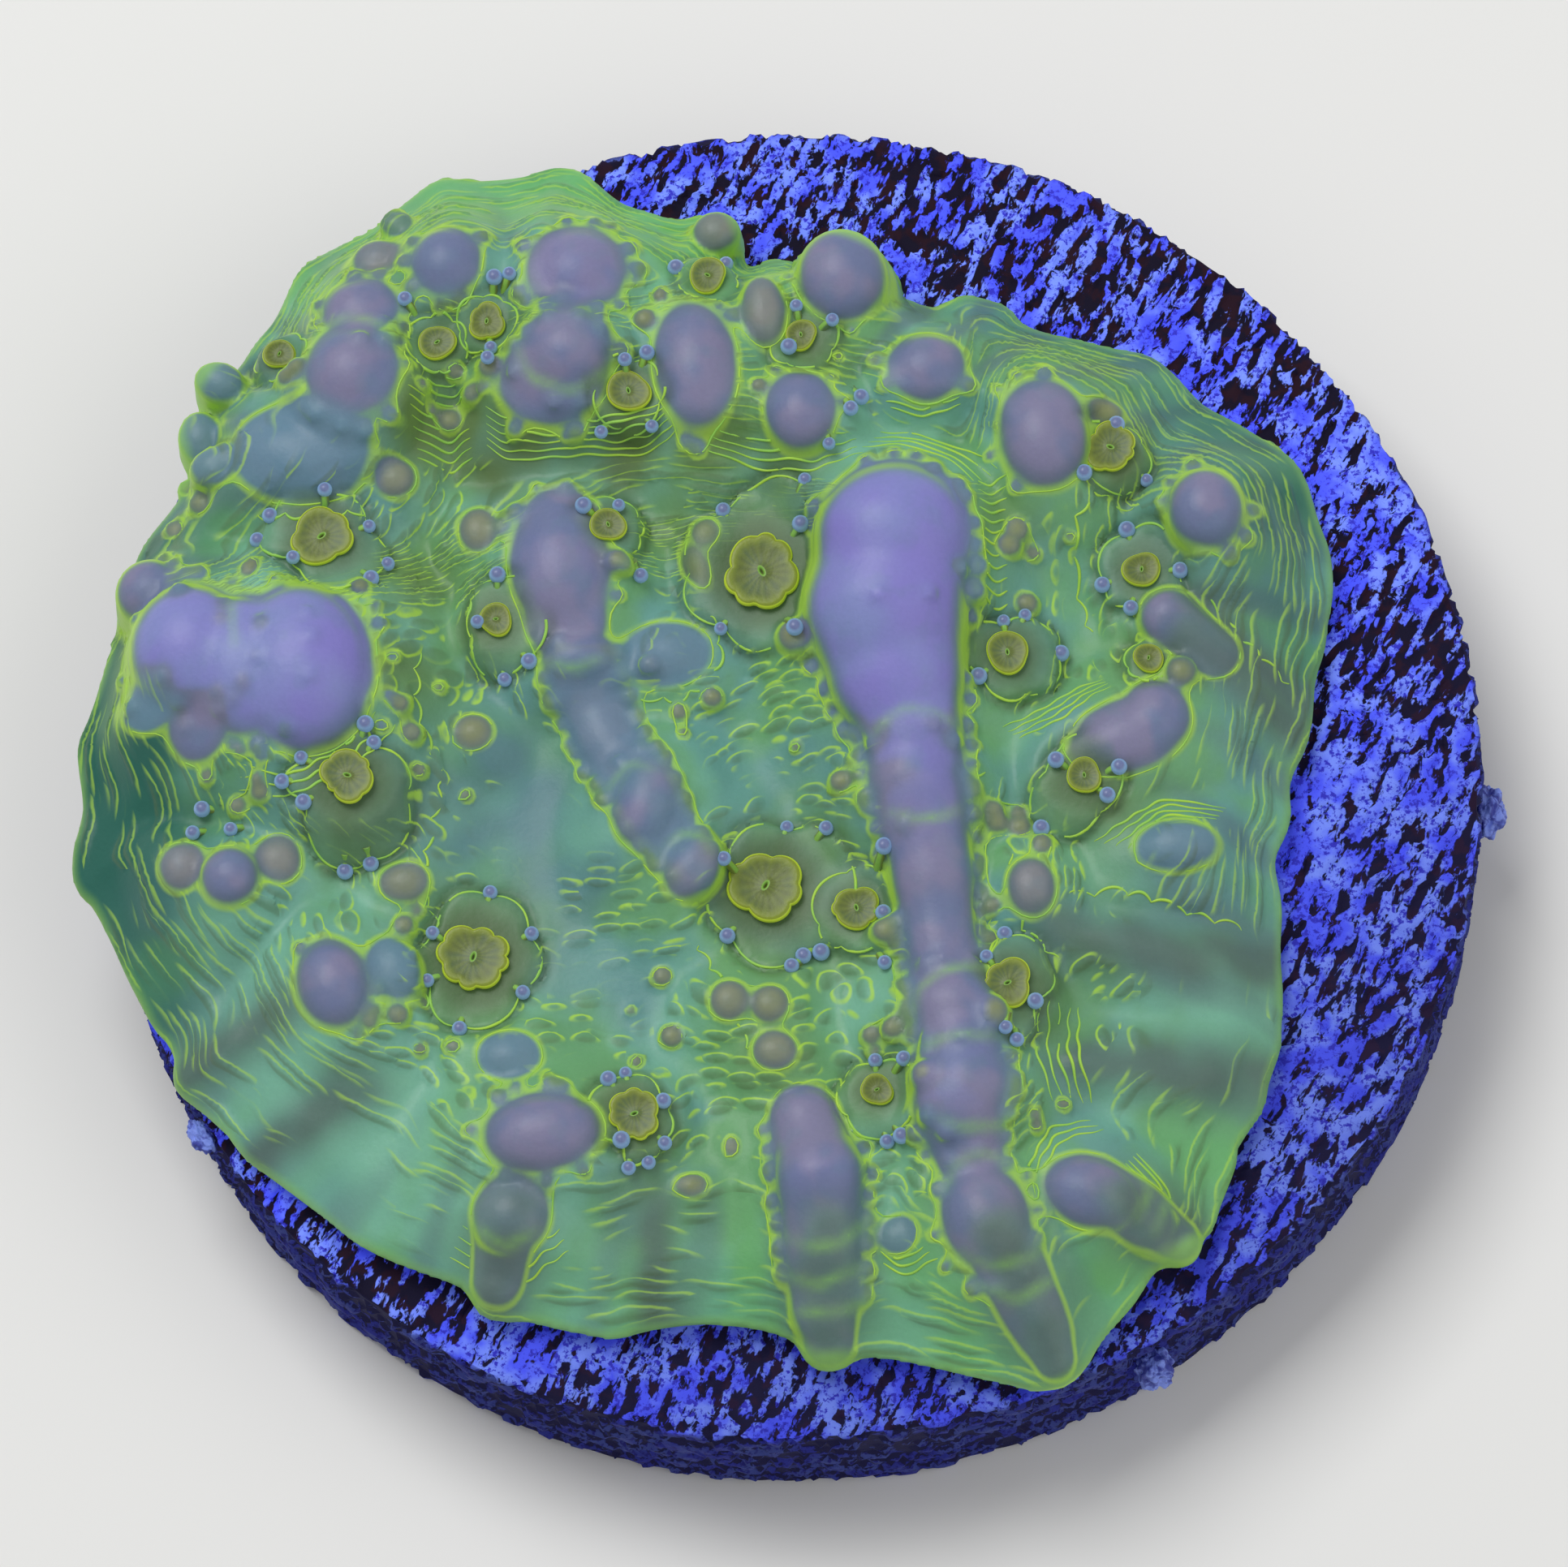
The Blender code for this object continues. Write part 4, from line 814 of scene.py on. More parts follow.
    def hills(self):
        """For the bulb or ridge nearest each point: how deep inside it, its half-width, its teal share."""
        nearest = np.full(self.x.shape, 1.4)
        girth, teal = np.zeros(self.x.shape), np.zeros(self.x.shape)
        bulbs = [(bulb, float(name in TEAL_BULBS)) for name, bulb in BULBS.items()]
        bulbs += [(wart, 0.0) for wart in self.warts] + [(bud, 1.0) for bud in self.buds]
        found = []
        for bulb, share in bulbs:
            found.append((self.reach_of_bulb(bulb), np.full(self.x.shape, min(bulb[2:4])), share))
        for name, stations in RIDGES.items():
            for reach, half, _ in self.reach_of_lines([stations]):
                found.append((reach, half + self.RIDGE_TINT, self.RIDGE_TEAL * (name == TEAL_RIDGE)))
        for reach, half, teal_share in found:
            closer = reach < nearest
            girth[closer] = half[closer]
            teal[closer] = teal_share
            nearest = np.minimum(nearest, reach)
        within = np.where(girth > 0, (1.0 - nearest) * np.maximum(girth, 0.2) ** 0.6, -0.4)
        within += 0.035 * self.wander(0.45, 63.0) * (girth > 0.4)
        return blur(within, 1), blur(girth, 5), blur(teal, 5)

    def fold_map(self):
        """Share of the dim tint along the backs of the folds that run out to the margin."""
        share = np.zeros(self.x.shape)
        for reach, _, _ in self.reach_of_lines(FOLDS[name] for name in DIM_FOLDS):
            share = np.maximum(share, np.exp(-((reach / self.FOLD_TINT_WIDTH) ** 2)))
        return np.clip(share * (1.0 + 0.4 * self.wander(0.8, 33.0)), 0.0, 1.0)

    def tint(self, places):
        """Share of a tint that lies in soft patches on the plate."""
        share = np.max([strength * self.nearness(*place) for *place, strength in places], axis=0)
        return np.clip(share * (1.0 + 0.7 * self.wander(1.1, 35.0)), 0.0, 1.0)

    def hollow_shade_map(self, skin):
        """How far a point lies in a crevice between its neighbours, 0 to 1: where shade is painted."""
        return smoothstep((blur(skin, 58) - skin - 0.10) / 0.75)

    def mouth_shade(self):
        """How near a point lies to an oral disc on its cushion, 0 to 1."""
        shade = np.zeros(self.x.shape)
        waver = 0.12 * self.wander(0.6, 37.0)
        for cx, cy, oral, cup, _ in POLYPS.values():
            share = (self.reach_from(cx, cy) + waver - oral) / (cup - oral)
            shade = np.maximum(shade, min(1.0, 0.25 + 0.5 * cup) * smoothstep(1.05 - share))
        return shade

    def streaks(self):
        """How strongly the growth rows draw out into streaks: near the margin and in a few places."""
        share = self.STREAK_BELT - self.inset
        for x, y, reach in STREAK_PLACES:
            share = np.maximum(share, 1.2 * (reach - self.reach_from(x, y)))
        return share

    def crease_map(self):
        """Share of the lime glow along the creases between lobes, 0 to 1."""
        glow = np.zeros(self.x.shape)
        for stations in CREASES:
            x, y = smooth_run(stations)[0][:, ::2]
            tapers = np.sin(math.pi * np.linspace(0.04, 0.96, len(x))) ** 0.6
            for px, py, taper in zip(x, y, tapers):
                glow = np.maximum(glow, taper * self.nearness(px, py, self.CREASE_WIDTH))
        return glow * (0.9 + 0.6 * self.wander(0.7, 39.0))

    def septa_map(self):
        """Faint folds that run out from each oral disc over its cushion, 0 to 1."""
        folds = np.zeros(self.x.shape)
        for cx, cy, _, cup, _ in POLYPS.values():
            near = smoothstep((1.25 * cup - self.reach_from(cx, cy)) / 0.3)
            count = round(9 * cup) + 3
            folds = np.maximum(folds, near * (0.5 + 0.5 * np.cos(count * self.bearing_from(cx, cy) + cx)))
        return folds * self.cup

    def growth(self):
        """Distance grown from the colony's middle: its level lines are the growth lines."""
        reach = self.reach_from(*self.GROWTH_CENTRE)
        to_margin = np.maximum(reach + self.inset, 1.0)
        share = np.clip(reach / to_margin, 0.0, 1.2)
        grown = reach - (to_margin - self.GROWTH_REACH) * share**2
        valley = 3.8 - self.y + 0.3 * self.x
        in_valley = np.exp(-(((self.x + 3.0) / 5.0) ** 2) - ((self.y + 2.0) / 4.5) ** 2)
        grown += (valley - grown) * in_valley
        return grown + 0.30 * self.wander(1.9, 3.0)

    def climb(self):
        """How much a rise in height counts as growth: upwards on the inner side of the crown."""
        inner = smoothstep((self.y - 4.0) / 2.0) * smoothstep((11.5 - self.y) / 2.0)
        return -1.0 + 1.75 * inner * smoothstep((6.5 - self.x) / 2.0)

    def clear_of_festoons(self):
        """1 over most of the colony and nearly 0 inside a nest of festoons, which have lines of their own."""
        clear = np.ones(self.x.shape)
        for first, last, _ in FESTOONS.values():
            a, b = nest_sides(first, last)
            for (ax, ay), (bx, by) in zip(a.T[::6], b.T[::6]):
                reach = 0.5 * math.hypot(bx - ax, by - ay) + 0.15
                out = self.reach_from((ax + bx) / 2, (ay + by) / 2) / reach
                clear = np.minimum(clear, 1.0 - 0.9 * np.exp(-(out**4)))
        return clear

    def roughness(self, skin):
        """How strongly the growth rows stand out, 0 to 1: most at the feet of the hills."""
        rate = np.hypot(*np.gradient(self.growth() + self.climb() * blur(skin, 2), self.STEP))
        steep = np.hypot(*np.gradient(blur(skin, 6), self.STEP))
        rough = 0.20 + 0.80 * smoothstep((steep - 0.15) / 0.6) + 0.55 * self.wander(2.2, 11.0)
        for *place, change in CALM_PLACES:
            rough += change * self.nearness(*place)
        rough = np.clip(rough, 0.0, 1.0) * self.clear_of_festoons()
        return rough * smoothstep(self.inset / 0.3) * smoothstep((rate - 0.3) / 0.35)


# ---------------------------------------------------------------- the colony as a solid


class Sculpt:
    """Signed distances to the colony on a cubic grid, and its skin as a mesh."""

    LOW_Z = -0.42
    HIGH_Z = 5.2
    FOOT_SPREAD = 0.10
    FOOT_DEPTH = 0.12
    ROOM = 0.6

    def __init__(self, plan):
        self.plan = plan
        self.step = plan.STEP
        self.zs = np.arange(self.LOW_Z, self.HIGH_Z, self.step)
        z = self.zs[None, None, :]
        top, bottom, inset = (f[:, :, None] for f in (plan.top, plan.bottom, plan.inset))
        slab = smooth_max(z - top, bottom - z, 0.25)
        self.field = smooth_max(slab, -inset, 0.45).astype(np.float32)

    def block(self, low, high):
        """The grid's slices and coordinates between two corners."""
        axes = (self.plan.xs, self.plan.ys, self.zs)
        ends = [np.searchsorted(axis, (low[k], high[k])) for k, axis in enumerate(axes)]
        cuts = tuple(slice(*np.clip(pair, 0, len(axis))) for pair, axis in zip(ends, axes))
        x, y, z = (axis[cut] for axis, cut in zip(axes, cuts))
        return cuts, x[:, None, None], y[None, :, None], z[None, None, :]

    def swell(self, cuts, z, distance, half, top, width):
        """Joins on a swelling that is rounded at both ends and widens a little towards its foot.

        The distance is from its upright core, and the width is that of the soft corner where it joins.
        """
        crown = top - half
        side = distance / (1.0 + self.FOOT_SPREAD * np.maximum(crown - z, 0.0))
        foot = np.minimum(half + self.FOOT_DEPTH, crown)
        off_core = np.maximum(z - crown, 0.0) + np.maximum(foot - z, 0.0)
        self.field[cuts] = smooth_min(self.field[cuts], np.hypot(side, off_core) - half, width)

    def add_bulb(self, x, y, half_x, half_y, turn, top, width=0.18):
        """A round-topped column."""
        half = min(half_x, half_y)
        reach = max(half_x, half_y) * 1.6 + self.ROOM
        low, high = (x - reach, y - reach, self.LOW_Z), (x + reach, y + reach, top + self.ROOM)
        cuts, gx, gy, gz = self.block(low, high)
        u, v = turned(gx - x, gy - y, math.radians(turn))
        self.swell(cuts, gz, np.hypot(u * half / half_x, v * half / half_y), half, top, width)

    def add_ridge(self, stations, width=0.20):
        """A round-backed wall along its stations."""
        for start, end in spans(stations):
            (low_x, high_x), (low_y, high_y), (_, half), (_, top) = map(sorted, zip(start, end))
            reach = half * 1.5 + self.ROOM
            low = (low_x - reach, low_y - reach, self.LOW_Z)
            high = (high_x + reach, high_y + reach, top + self.ROOM)
            cuts, gx, gy, gz = self.block(low, high)
            self.swell(cuts, gz, *beside_span(gx, gy, start, end), width)

    def skin_height(self):
        """Height of the topmost skin over each point of the plan."""
        inside = self.field < 0
        k = len(self.zs) - 1 - inside[:, :, ::-1].argmax(axis=2)
        k = np.minimum(k, len(self.zs) - 2)
        i, j = np.indices(k.shape)
        below, above = self.field[i, j, k], self.field[i, j, k + 1]
        share = np.clip(below / np.where(below == above, 1.0, below - above), 0, 1)
        return np.where(inside.any(axis=2), self.zs[k] + share * self.step, 0.0)

    def surface(self):
        """One vertex in each grid cell that the skin crosses, joined into outward-facing quads."""
        field = self.field
        inside = field < 0
        nx, ny, nz = field.shape
        corners = np.indices((2, 2, 2)).reshape(3, 8).T
        count = sum(inside[a:nx - 1 + a, b:ny - 1 + b, c:nz - 1 + c].astype(np.int8) for a, b, c in corners)
        cells = np.argwhere((count > 0) & (count < 8))
        index = np.full((nx - 1, ny - 1, nz - 1), -1, dtype=np.int64)
        index[tuple(cells.T)] = np.arange(len(cells))
        total = np.zeros((len(cells), 3))
        hits = np.zeros(len(cells))
        for axis, along in enumerate(np.eye(3, dtype=int)):
            for start in corners[corners[:, axis] == 0]:
                a, b = (field[tuple((cells + corner).T)] for corner in (start, start + along))
                crossed = (a < 0) != (b < 0)
                share = np.where(crossed, a / np.where(a == b, 1.0, a - b), 0.0)
                total += np.where(crossed[:, None], start + share[:, None] * along, 0.0)
                hits += crossed
        points = (cells + total / hits[:, None]) * self.step
        points += (self.plan.LOW[0], self.plan.LOW[1], self.LOW_Z)
        quads = []
        for axis in range(3):
            near = inside[tuple(slice(-1 if k == axis else None) for k in range(3))]
            far = inside[tuple(slice(int(k == axis), None) for k in range(3))]
            u, v = (axis + 1) % 3, (axis + 2) % 3
            for crossing, outward in ((near & ~far, True), (~near & far, False)):
                edge = np.argwhere(crossing)
                edge = edge[(edge[:, u] > 0) & (edge[:, v] > 0)]
                ring = []
                for du, dv in ((0, 0), (1, 0), (1, 1), (0, 1)):
                    cell = edge.copy()
                    cell[:, u] -= 1 - du
                    cell[:, v] -= 1 - dv
                    ring.append(index[tuple(cell.T)])
                quads.append(np.stack(ring if outward else ring[::-1], axis=1))
        return points, np.vstack(quads)


COLLAR_SPREAD = 1.17
COLLAR_DROP = 0.75
BUD_RISE = 0.45
WART_RISE = 0.75
SMALL_CORNER = 0.10
WART_CORNER = 0.07


def sculpt_colony(plan):
    """The colony as a solid: collars, ridges, bulbs, then the buds and warts that sit on their skin."""
    sculpt = Sculpt(plan)
    for x, y, half_x, half_y, turn, top in BULBS.values():
        half = min(half_x, half_y)
        if half > 0.85 and top > 3.4:
            collar = (half_x * COLLAR_SPREAD, half_y * COLLAR_SPREAD, turn, top - COLLAR_DROP * half)
            sculpt.add_bulb(x, y, *collar, SMALL_CORNER)
    for stations in RIDGES.values():
        sculpt.add_ridge(stations)
    for bulb in BULBS.values():
        sculpt.add_bulb(*bulb)
    skin = sculpt.skin_height()
    for x, y, radius, *_ in plan.buds:
        ground = float(plan.sample(plan.top, x, y))
        top = min(float(plan.sample(skin, x, y)) + BUD_RISE * radius, ground + 1.2 + radius)
        sculpt.add_bulb(x, y, radius, radius, 0, top, SMALL_CORNER)
    for x, y, radius, *_ in plan.warts:
        top = float(plan.sample(skin, x, y)) + WART_RISE * radius
        sculpt.add_bulb(x, y, radius, radius, 0, top, WART_CORNER)
    return sculpt


# ---------------------------------------------------------------- meshes and attributes


def in_scene(name, data):
    """A new object of the scene that shows a mesh, lamp or camera."""
    obj = bpy.data.objects.new(name, data)
    bpy.context.scene.collection.objects.link(obj)
    return obj


def above_disc(points):
    """Points in metres, from points in millimetres above the disc's top face."""
    return ((np.asarray(points, dtype=float) + (0.0, 0.0, DISC_TOP)) * MM).tolist()


def mesh_object(name, points, faces, material=None):
    """An object whose mesh is built from points in millimetres above the disc's top face."""
    mesh = bpy.data.meshes.new(name)
    mesh.from_pydata(above_disc(points), [], faces)
    mesh.update()
    mesh.shade_smooth()
    if material:
        mesh.materials.append(material)
    return in_scene(name, mesh)


def paint(obj, name, values):
    """Stores one number for each vertex."""
    layer = obj.data.attributes.new(name, "FLOAT", "POINT")
    layer.data.foreach_set("value", np.asarray(values, dtype=np.float32))


def read_vectors(collection, key):
    """One vector for each vertex, as rows."""
    flat = np.empty(len(collection) * 3, dtype=np.float32)
    collection.foreach_get(key, flat)
    return flat.reshape(-1, 3)


ROW_SPACING = 0.38
ROW_HEIGHT = 0.09
# The axis that slope is measured from: up, and a little to the south; a lime rim glow is painted where tissue
# turns from it.
SLOPE_AXIS = np.array([0.0, -0.22, 0.975])


def build_skin(plan, sculpt):
    """The colony's closed skin, with its flat seat on the disc as one broad face."""
    points, quads = sculpt.surface()
    middle = points[quads].mean(axis=1)
    level = (points[quads][:, :, 2] < 0.1).all(axis=1)
    seat = level & (plan.sample(plan.inset, middle[:, 0], middle[:, 1]) > 1.5)
    start = quads[seat].ravel()
    end = np.roll(quads[seat], -1, axis=1).ravel()
    outline = ~np.isin(start * len(points) + end, end * len(points) + start)
    onward = {}
    for here, ahead in zip(start[outline].tolist(), end[outline].tolist()):
        onward.setdefault(here, []).append(ahead)
    faces = quads[~seat].tolist()
    while onward:
        ring = [next(iter(onward))]
        while ring[-1] in onward:
            ahead = onward[ring[-1]].pop()
            if not onward[ring[-1]]:
                del onward[ring[-1]]
            if ahead in ring:
                faces.append(ring[ring.index(ahead):])
                del ring[ring.index(ahead) + 1:]
            else:
                ring.append(ahead)
    used = np.unique(np.concatenate([quads[~seat].ravel(), start[outline]]))
    number = np.zeros(len(points), dtype=int)
    number[used] = np.arange(len(used))
    return mesh_object("colony_skin", points[used], [number[face].tolist() for face in faces])


def mark_skin(obj, plan, skin):
    """Stores what the finish and the growth rows need to know at each point of the skin."""
    x, y, z = (read_vectors(obj.data.vertices, "co") / MM).T
    z = z - DISC_TOP
    normals = read_vectors(obj.data.vertex_normals, "vector")
    fields = {
        "within": plan.within, "girth": plan.girth, "teal": plan.teal, "inset": plan.inset, "cup": plan.cup,
        "pleat": plan.pleats, "blush": plan.blush, "fold": plan.fold_map(), "crease": plan.crease_map(),
        "hollow_shade": plan.hollow_shade_map(skin), "streak": plan.streaks(), "mouth": plan.mouth_shade(),
        "septa": plan.septa_map(), "groove": plan.groove * (1.0 - plan.cup), "rough": plan.roughness(skin),
        "growth": plan.growth(), **{name: plan.tint(places) for name, places in TINTS.items()},
    }
    marks = {name: plan.sample(field, x, y) for name, field in fields.items()}
    above = z - plan.sample(plan.top, x, y)
    # Slope from the axis: where it is high, a lime rim glow is painted, as if the tissue glowed edge-on.
    slope = 1.0 - np.clip(normals @ SLOPE_AXIS, 0.0, 1.0)
    within = marks["within"]
    on_hill = np.maximum(smoothstep((above - 0.02) / 0.3), smoothstep((within + 0.02) / 0.1))
    plain = (1.0 - on_hill * (1.0 - 0.4 * marks["teal"])) * (1.0 - 0.8 * marks["cup"])
    wall = smoothstep((slope - 0.38) / 0.25) * smoothstep(above / 0.3)
    wall *= 1.0 - smoothstep((within + 0.25) / 0.25)
    upper = smoothstep((normals[:, 2] + 0.1) / 0.4)
    marks["slope"] = slope
    marks["rough"] = np.clip(marks["rough"] * plain + 0.6 * wall, 0.0, 1.0) * upper
    marks["growth"] = (marks["growth"] + plan.sample(plan.climb(), x, y) * z) / ROW_SPACING
    for name in ("cup", "groove", "mouth", "septa"):
        marks[name] *= 1.0 - smoothstep(above / 0.4)
    for name, values in marks.items():
        paint(obj, name, values)


def grow_rows(skin_object, material):
    """Raises the growth rows on the skin: each one steep towards the middle, with a long back."""
    g = Grower("growth_rows", {"Row Height": ROW_HEIGHT * MM})
    _, _, height = growth_rows(g, g.node("GeometryNodeInputPosition"))
    g.lift(g.times(height, g.given["Row Height"]))
    return g.grow(skin_object, "coral_flesh", material)


# ---------------------------------------------------------------- Geometry Nodes building


class Weaver:
    """Adds nodes to a tree and joins them as they are made."""

    def put(self, socket, value):
        if isinstance(value, bpy.types.NodeSocket):
            self.tree.links.new(value, socket)
        else:
            socket.default_value = value

    def add(self, kind, settings=(), **inputs):
        made = self.tree.nodes.new(kind)
        for key, value in dict(settings).items():
            setattr(made, key, value)
        for key, value in inputs.items():
            self.put(made.inputs[key.replace("_", " ")], value)
        return made

    def node(self, kind, settings=(), **inputs):
        """A node's first output."""
        return self.add(kind, settings, **inputs).outputs[0]

    def filled(self, made, sockets, values):
        """The first output of a node, once its sockets have their values."""
        for socket, value in zip(sockets, values):
            self.put(socket, value)
        return made.outputs[0]

    def math(self, operation, first, second=0.0):
        made = self.add("ShaderNodeMath", {"operation": operation})
        return self.filled(made, made.inputs, (first, second))

    def times(self, first, second):
        return self.math("MULTIPLY", first, second)

    def plus(self, first, second):
        return self.math("ADD", first, second)

    def minus(self, first, second):
        return self.math("SUBTRACT", first, second)

    def between(self, share, first, second):
        """The share of the way from one value to another."""
        return self.plus(first, self.times(share, self.minus(second, first)))

    def vector_math(self, operation, first, second=(0.0, 0.0, 0.0), scale=1.0):
        made = self.add("ShaderNodeVectorMath", {"operation": operation})
        return self.filled(made, (made.inputs[0], made.inputs[1], made.inputs[3]), (first, second, scale))

    def split(self, vector):
        """The x, y and z of a vector."""
        return self.add("ShaderNodeSeparateXYZ", Vector=vector).outputs

    def ramp(self, value, low, high, start=0.0, end=1.0):
        """A smooth step of the value from low to high."""
        made = self.add("ShaderNodeMapRange", {"interpolation_type": "SMOOTHSTEP"})
        return self.filled(made, made.inputs, (value, low, high, start, end))

    def noise(self, scale, detail=2.0, roughness=0.5, vector=None, distortion=0.0):
        """Noise whose grains are about 1/scale millimetres."""
        made = self.add("ShaderNodeTexNoise", Detail=detail, Roughness=roughness, Distortion=distortion)
        made.inputs["Scale"].default_value = scale / MM
        self.put(made.inputs["Vector"], vector or self.place)
        return made.outputs[0]


SCALE_LENGTH = 0.72
STREAK_LENGTH = 1.9
STREAK_FADE = 0.3


def scale_cells(w, level, place, length):
    """One cell for each scale of a row: how far out in its cell, how far behind its middle, its chance."""
    x, y, _ = w.split(w.vector_math("SCALE", place, scale=1.0 / (length * MM)))
    spot = w.node("ShaderNodeCombineXYZ", X=x, Y=y, Z=level)
    cell = w.add("ShaderNodeTexVoronoi", Vector=spot, Scale=1.0, Randomness=0.8).outputs
    return cell["Distance"], w.minus(level, w.split(cell["Position"])[2]), w.split(cell["Color"])[0]


def growth_rows(w, place):
    """The rows of small scales that growth left: lime edge, painted shade in the hollow behind it, and
    height, 0 to 1.

    A scale rises at its edge towards the colony's middle. Where "streak" is high they draw out.
    """
    growth, rough = w.attribute("growth"), w.attribute("rough")
    waver = w.times(w.minus(w.noise(0.9, 1.0, vector=place), 0.5), 1.2)
    level = w.plus(growth, waver)
    short = scale_cells(w, level, place, SCALE_LENGTH)
    drawn_out = scale_cells(w, level, place, STREAK_LENGTH)
    streaky = w.math("GREATER_THAN", w.plus(waver, w.attribute("streak")), 0.0)
    reach, onward, chance = (w.between(streaky, a, b) for a, b in zip(short, drawn_out))
    drawn = w.ramp(w.plus(chance, rough), 0.70, 1.05)
    drawn = w.times(drawn, w.ramp(rough, 0.02, 0.4, 0.0, 1.0))
    front = w.ramp(onward, 0.15, -0.30)
    edge = w.times(w.times(w.ramp(reach, 0.37, 0.46), w.ramp(reach, 0.59, 0.50)), front)
    edge = w.times(edge, w.minus(1.0, w.times(streaky, STREAK_FADE)))
    # Painted shade in the hollow under the next row's overhang.
    hollow_shade = w.times(w.ramp(reach, 0.50, 0.30), w.ramp(onward, -0.30, 0.15, 0.35, 1.0))
    height = w.times(w.ramp(reach, 0.56, 0.30), w.ramp(onward, 0.5, -0.4, 0.25, 1.0))
    return [w.times(part, drawn) for part in (edge, hollow_shade, height)]


class Grower(Weaver):
    """A Geometry Nodes tree, made node by node, with named number inputs."""

    def __init__(self, name, sizes=()):
        self.tree = bpy.data.node_groups.new(name, "GeometryNodeTree")
        self.tree.interface.new_socket("Geometry", in_out="INPUT", socket_type="NodeSocketGeometry")
        self.tree.interface.new_socket("Geometry", in_out="OUTPUT", socket_type="NodeSocketGeometry")
        self.sizes = dict(sizes)
        self.slots = {}
        for label in self.sizes:
            made = self.tree.interface.new_socket(label, in_out="INPUT", socket_type="NodeSocketFloat")
            self.slots[label] = made.identifier
        self.given = self.tree.nodes.new("NodeGroupInput").outputs
        self.result = self.tree.nodes.new("NodeGroupOutput").inputs[0]

    def attribute(self, name):
        return self.node("GeometryNodeInputNamedAttribute", {"data_type": "FLOAT"}, Name=name)

    def lift(self, height):
        """Moves each point of the mesh outwards by a height."""
        rise = self.vector_math("SCALE", self.node("GeometryNodeInputNormal"), scale=height)
        self.made = self.node("GeometryNodeSetPosition", Geometry=self.given[0], Offset=rise)

    def grow(self, carrier, name, material):
        """Runs the tree on the carrier and returns what it made as a plain mesh object."""
        realized = self.node("GeometryNodeRealizeInstances", Geometry=self.made)
        self.put(self.result, self.node("GeometryNodeSetMaterial", Geometry=realized, Material=material))
        modifier = carrier.modifiers.new(name, "NODES")
        modifier.node_group = self.tree
        for label, size in self.sizes.items():
            modifier[self.slots[label]] = size
        evaluated = carrier.evaluated_get(bpy.context.evaluated_depsgraph_get())
        mesh = bpy.data.meshes.new_from_object(evaluated)
        carrier.modifiers.remove(modifier)
        bpy.data.objects.remove(carrier)
        mesh.name = name
        mesh.shade_smooth()
        return in_scene(name, mesh)


def strand_carrier(name, strands):
    """Open lines for a tree to sweep: each strand is rows of x, y, z and radius in millimetres."""
    points, edges, radii = [], [], []
    for strand in strands:
        edges.extend((len(points) + k, len(points) + k + 1) for k in range(len(strand) - 1))
        points.extend(row[:3] for row in strand)
        radii.extend(row[3] for row in strand)
    mesh = bpy.data.meshes.new(name)
    mesh.from_pydata(above_disc(points), edges, [])
    obj = in_scene(name, mesh)
    paint(obj, "thickness", np.array(radii) * MM)
    return obj


def sweep_strands(name, strands, sides, material):
    """Round cords along the strands, with their own thickness at each point, marked at the flanks for a
    painted rim glow.
    """
    g = Grower(name, {"Fullness": 1.0})
    curve = g.node("GeometryNodeMeshToCurve", Mesh=g.given[0])
    curve = g.node("GeometryNodeSetCurveNormal", {"mode": "Z_UP"}, Curve=curve)
    profile = g.node("GeometryNodeCurvePrimitiveCircle", Resolution=sides, Radius=g.given["Fullness"])
    # How far to the side of a cord a point is, for the painted rim glow on its flanks.
    flank_glow = g.math("ABSOLUTE", g.split(g.node("GeometryNodeInputPosition"))[1])
    profile = g.node("GeometryNodeStoreNamedAttribute", Geometry=profile, Name="flank_glow", Value=flank_glow)
    g.made = g.node(
        "GeometryNodeCurveToMesh", Curve=curve, Profile_Curve=profile, Scale=g.attribute("thickness"),
        Fill_Caps=True,
    )
    return g.grow(strand_carrier(name + "_lines", strands), name, material)


# ---------------------------------------------------------------- shader building


class Shades(Weaver):
    """A material made node by node."""

    def __init__(self, name):
        self.material = bpy.data.materials.new(name)
        self.material.use_nodes = True
        self.tree = self.material.node_tree
        self.shader = self.tree.nodes["Principled BSDF"]
        self.place = self.tree.nodes.new("ShaderNodeTexCoord").outputs["Object"]

    def attribute(self, name):
        return self.add("ShaderNodeAttribute", {"attribute_name": name}).outputs["Fac"]

    def mix(self, share, first, second, blend="MIX"):
        made = self.add("ShaderNodeMix", {"data_type": "RGBA", "blend_type": blend})
        self.put(made.inputs[0], share)
        self.put(made.inputs[6], first)
        self.put(made.inputs[7], second)
        return made.outputs[2]

    def tinted(self, colour, tint, mark, share=1.0):
        """The colour, tinted as strongly as a painted mark says."""
        return self.mix(self.times(self.attribute(mark), share), colour, tint)

    def bump(self, height, distance, strength):
        return self.node("ShaderNodeBump", Strength=strength, Height=height, Distance=distance * MM)

    def finish(self, **inputs):
        for key, value in inputs.items():
            self.put(self.shader.inputs[key.replace("_", " ")], value)
        return self.material


# ---------------------------------------------------------------- the colony's finishes

VIOLET = linear(128, 122, 192)
VIOLET_PALE = linear(126, 136, 188)
MAUVE = linear(106, 116, 150)
MAUVE_WARM = linear(124, 122, 152)
OLIVE_NUB = linear(126, 134, 92)
FOLD_SHADE = linear(82, 101, 96)
TEAL_HILL = linear(94, 132, 148)
TEAL = linear(98, 150, 142)
TEAL_PALE = linear(118, 176, 152)
GREEN = linear(103, 158, 108)
DEEP_TEAL = linear(38, 96, 84)
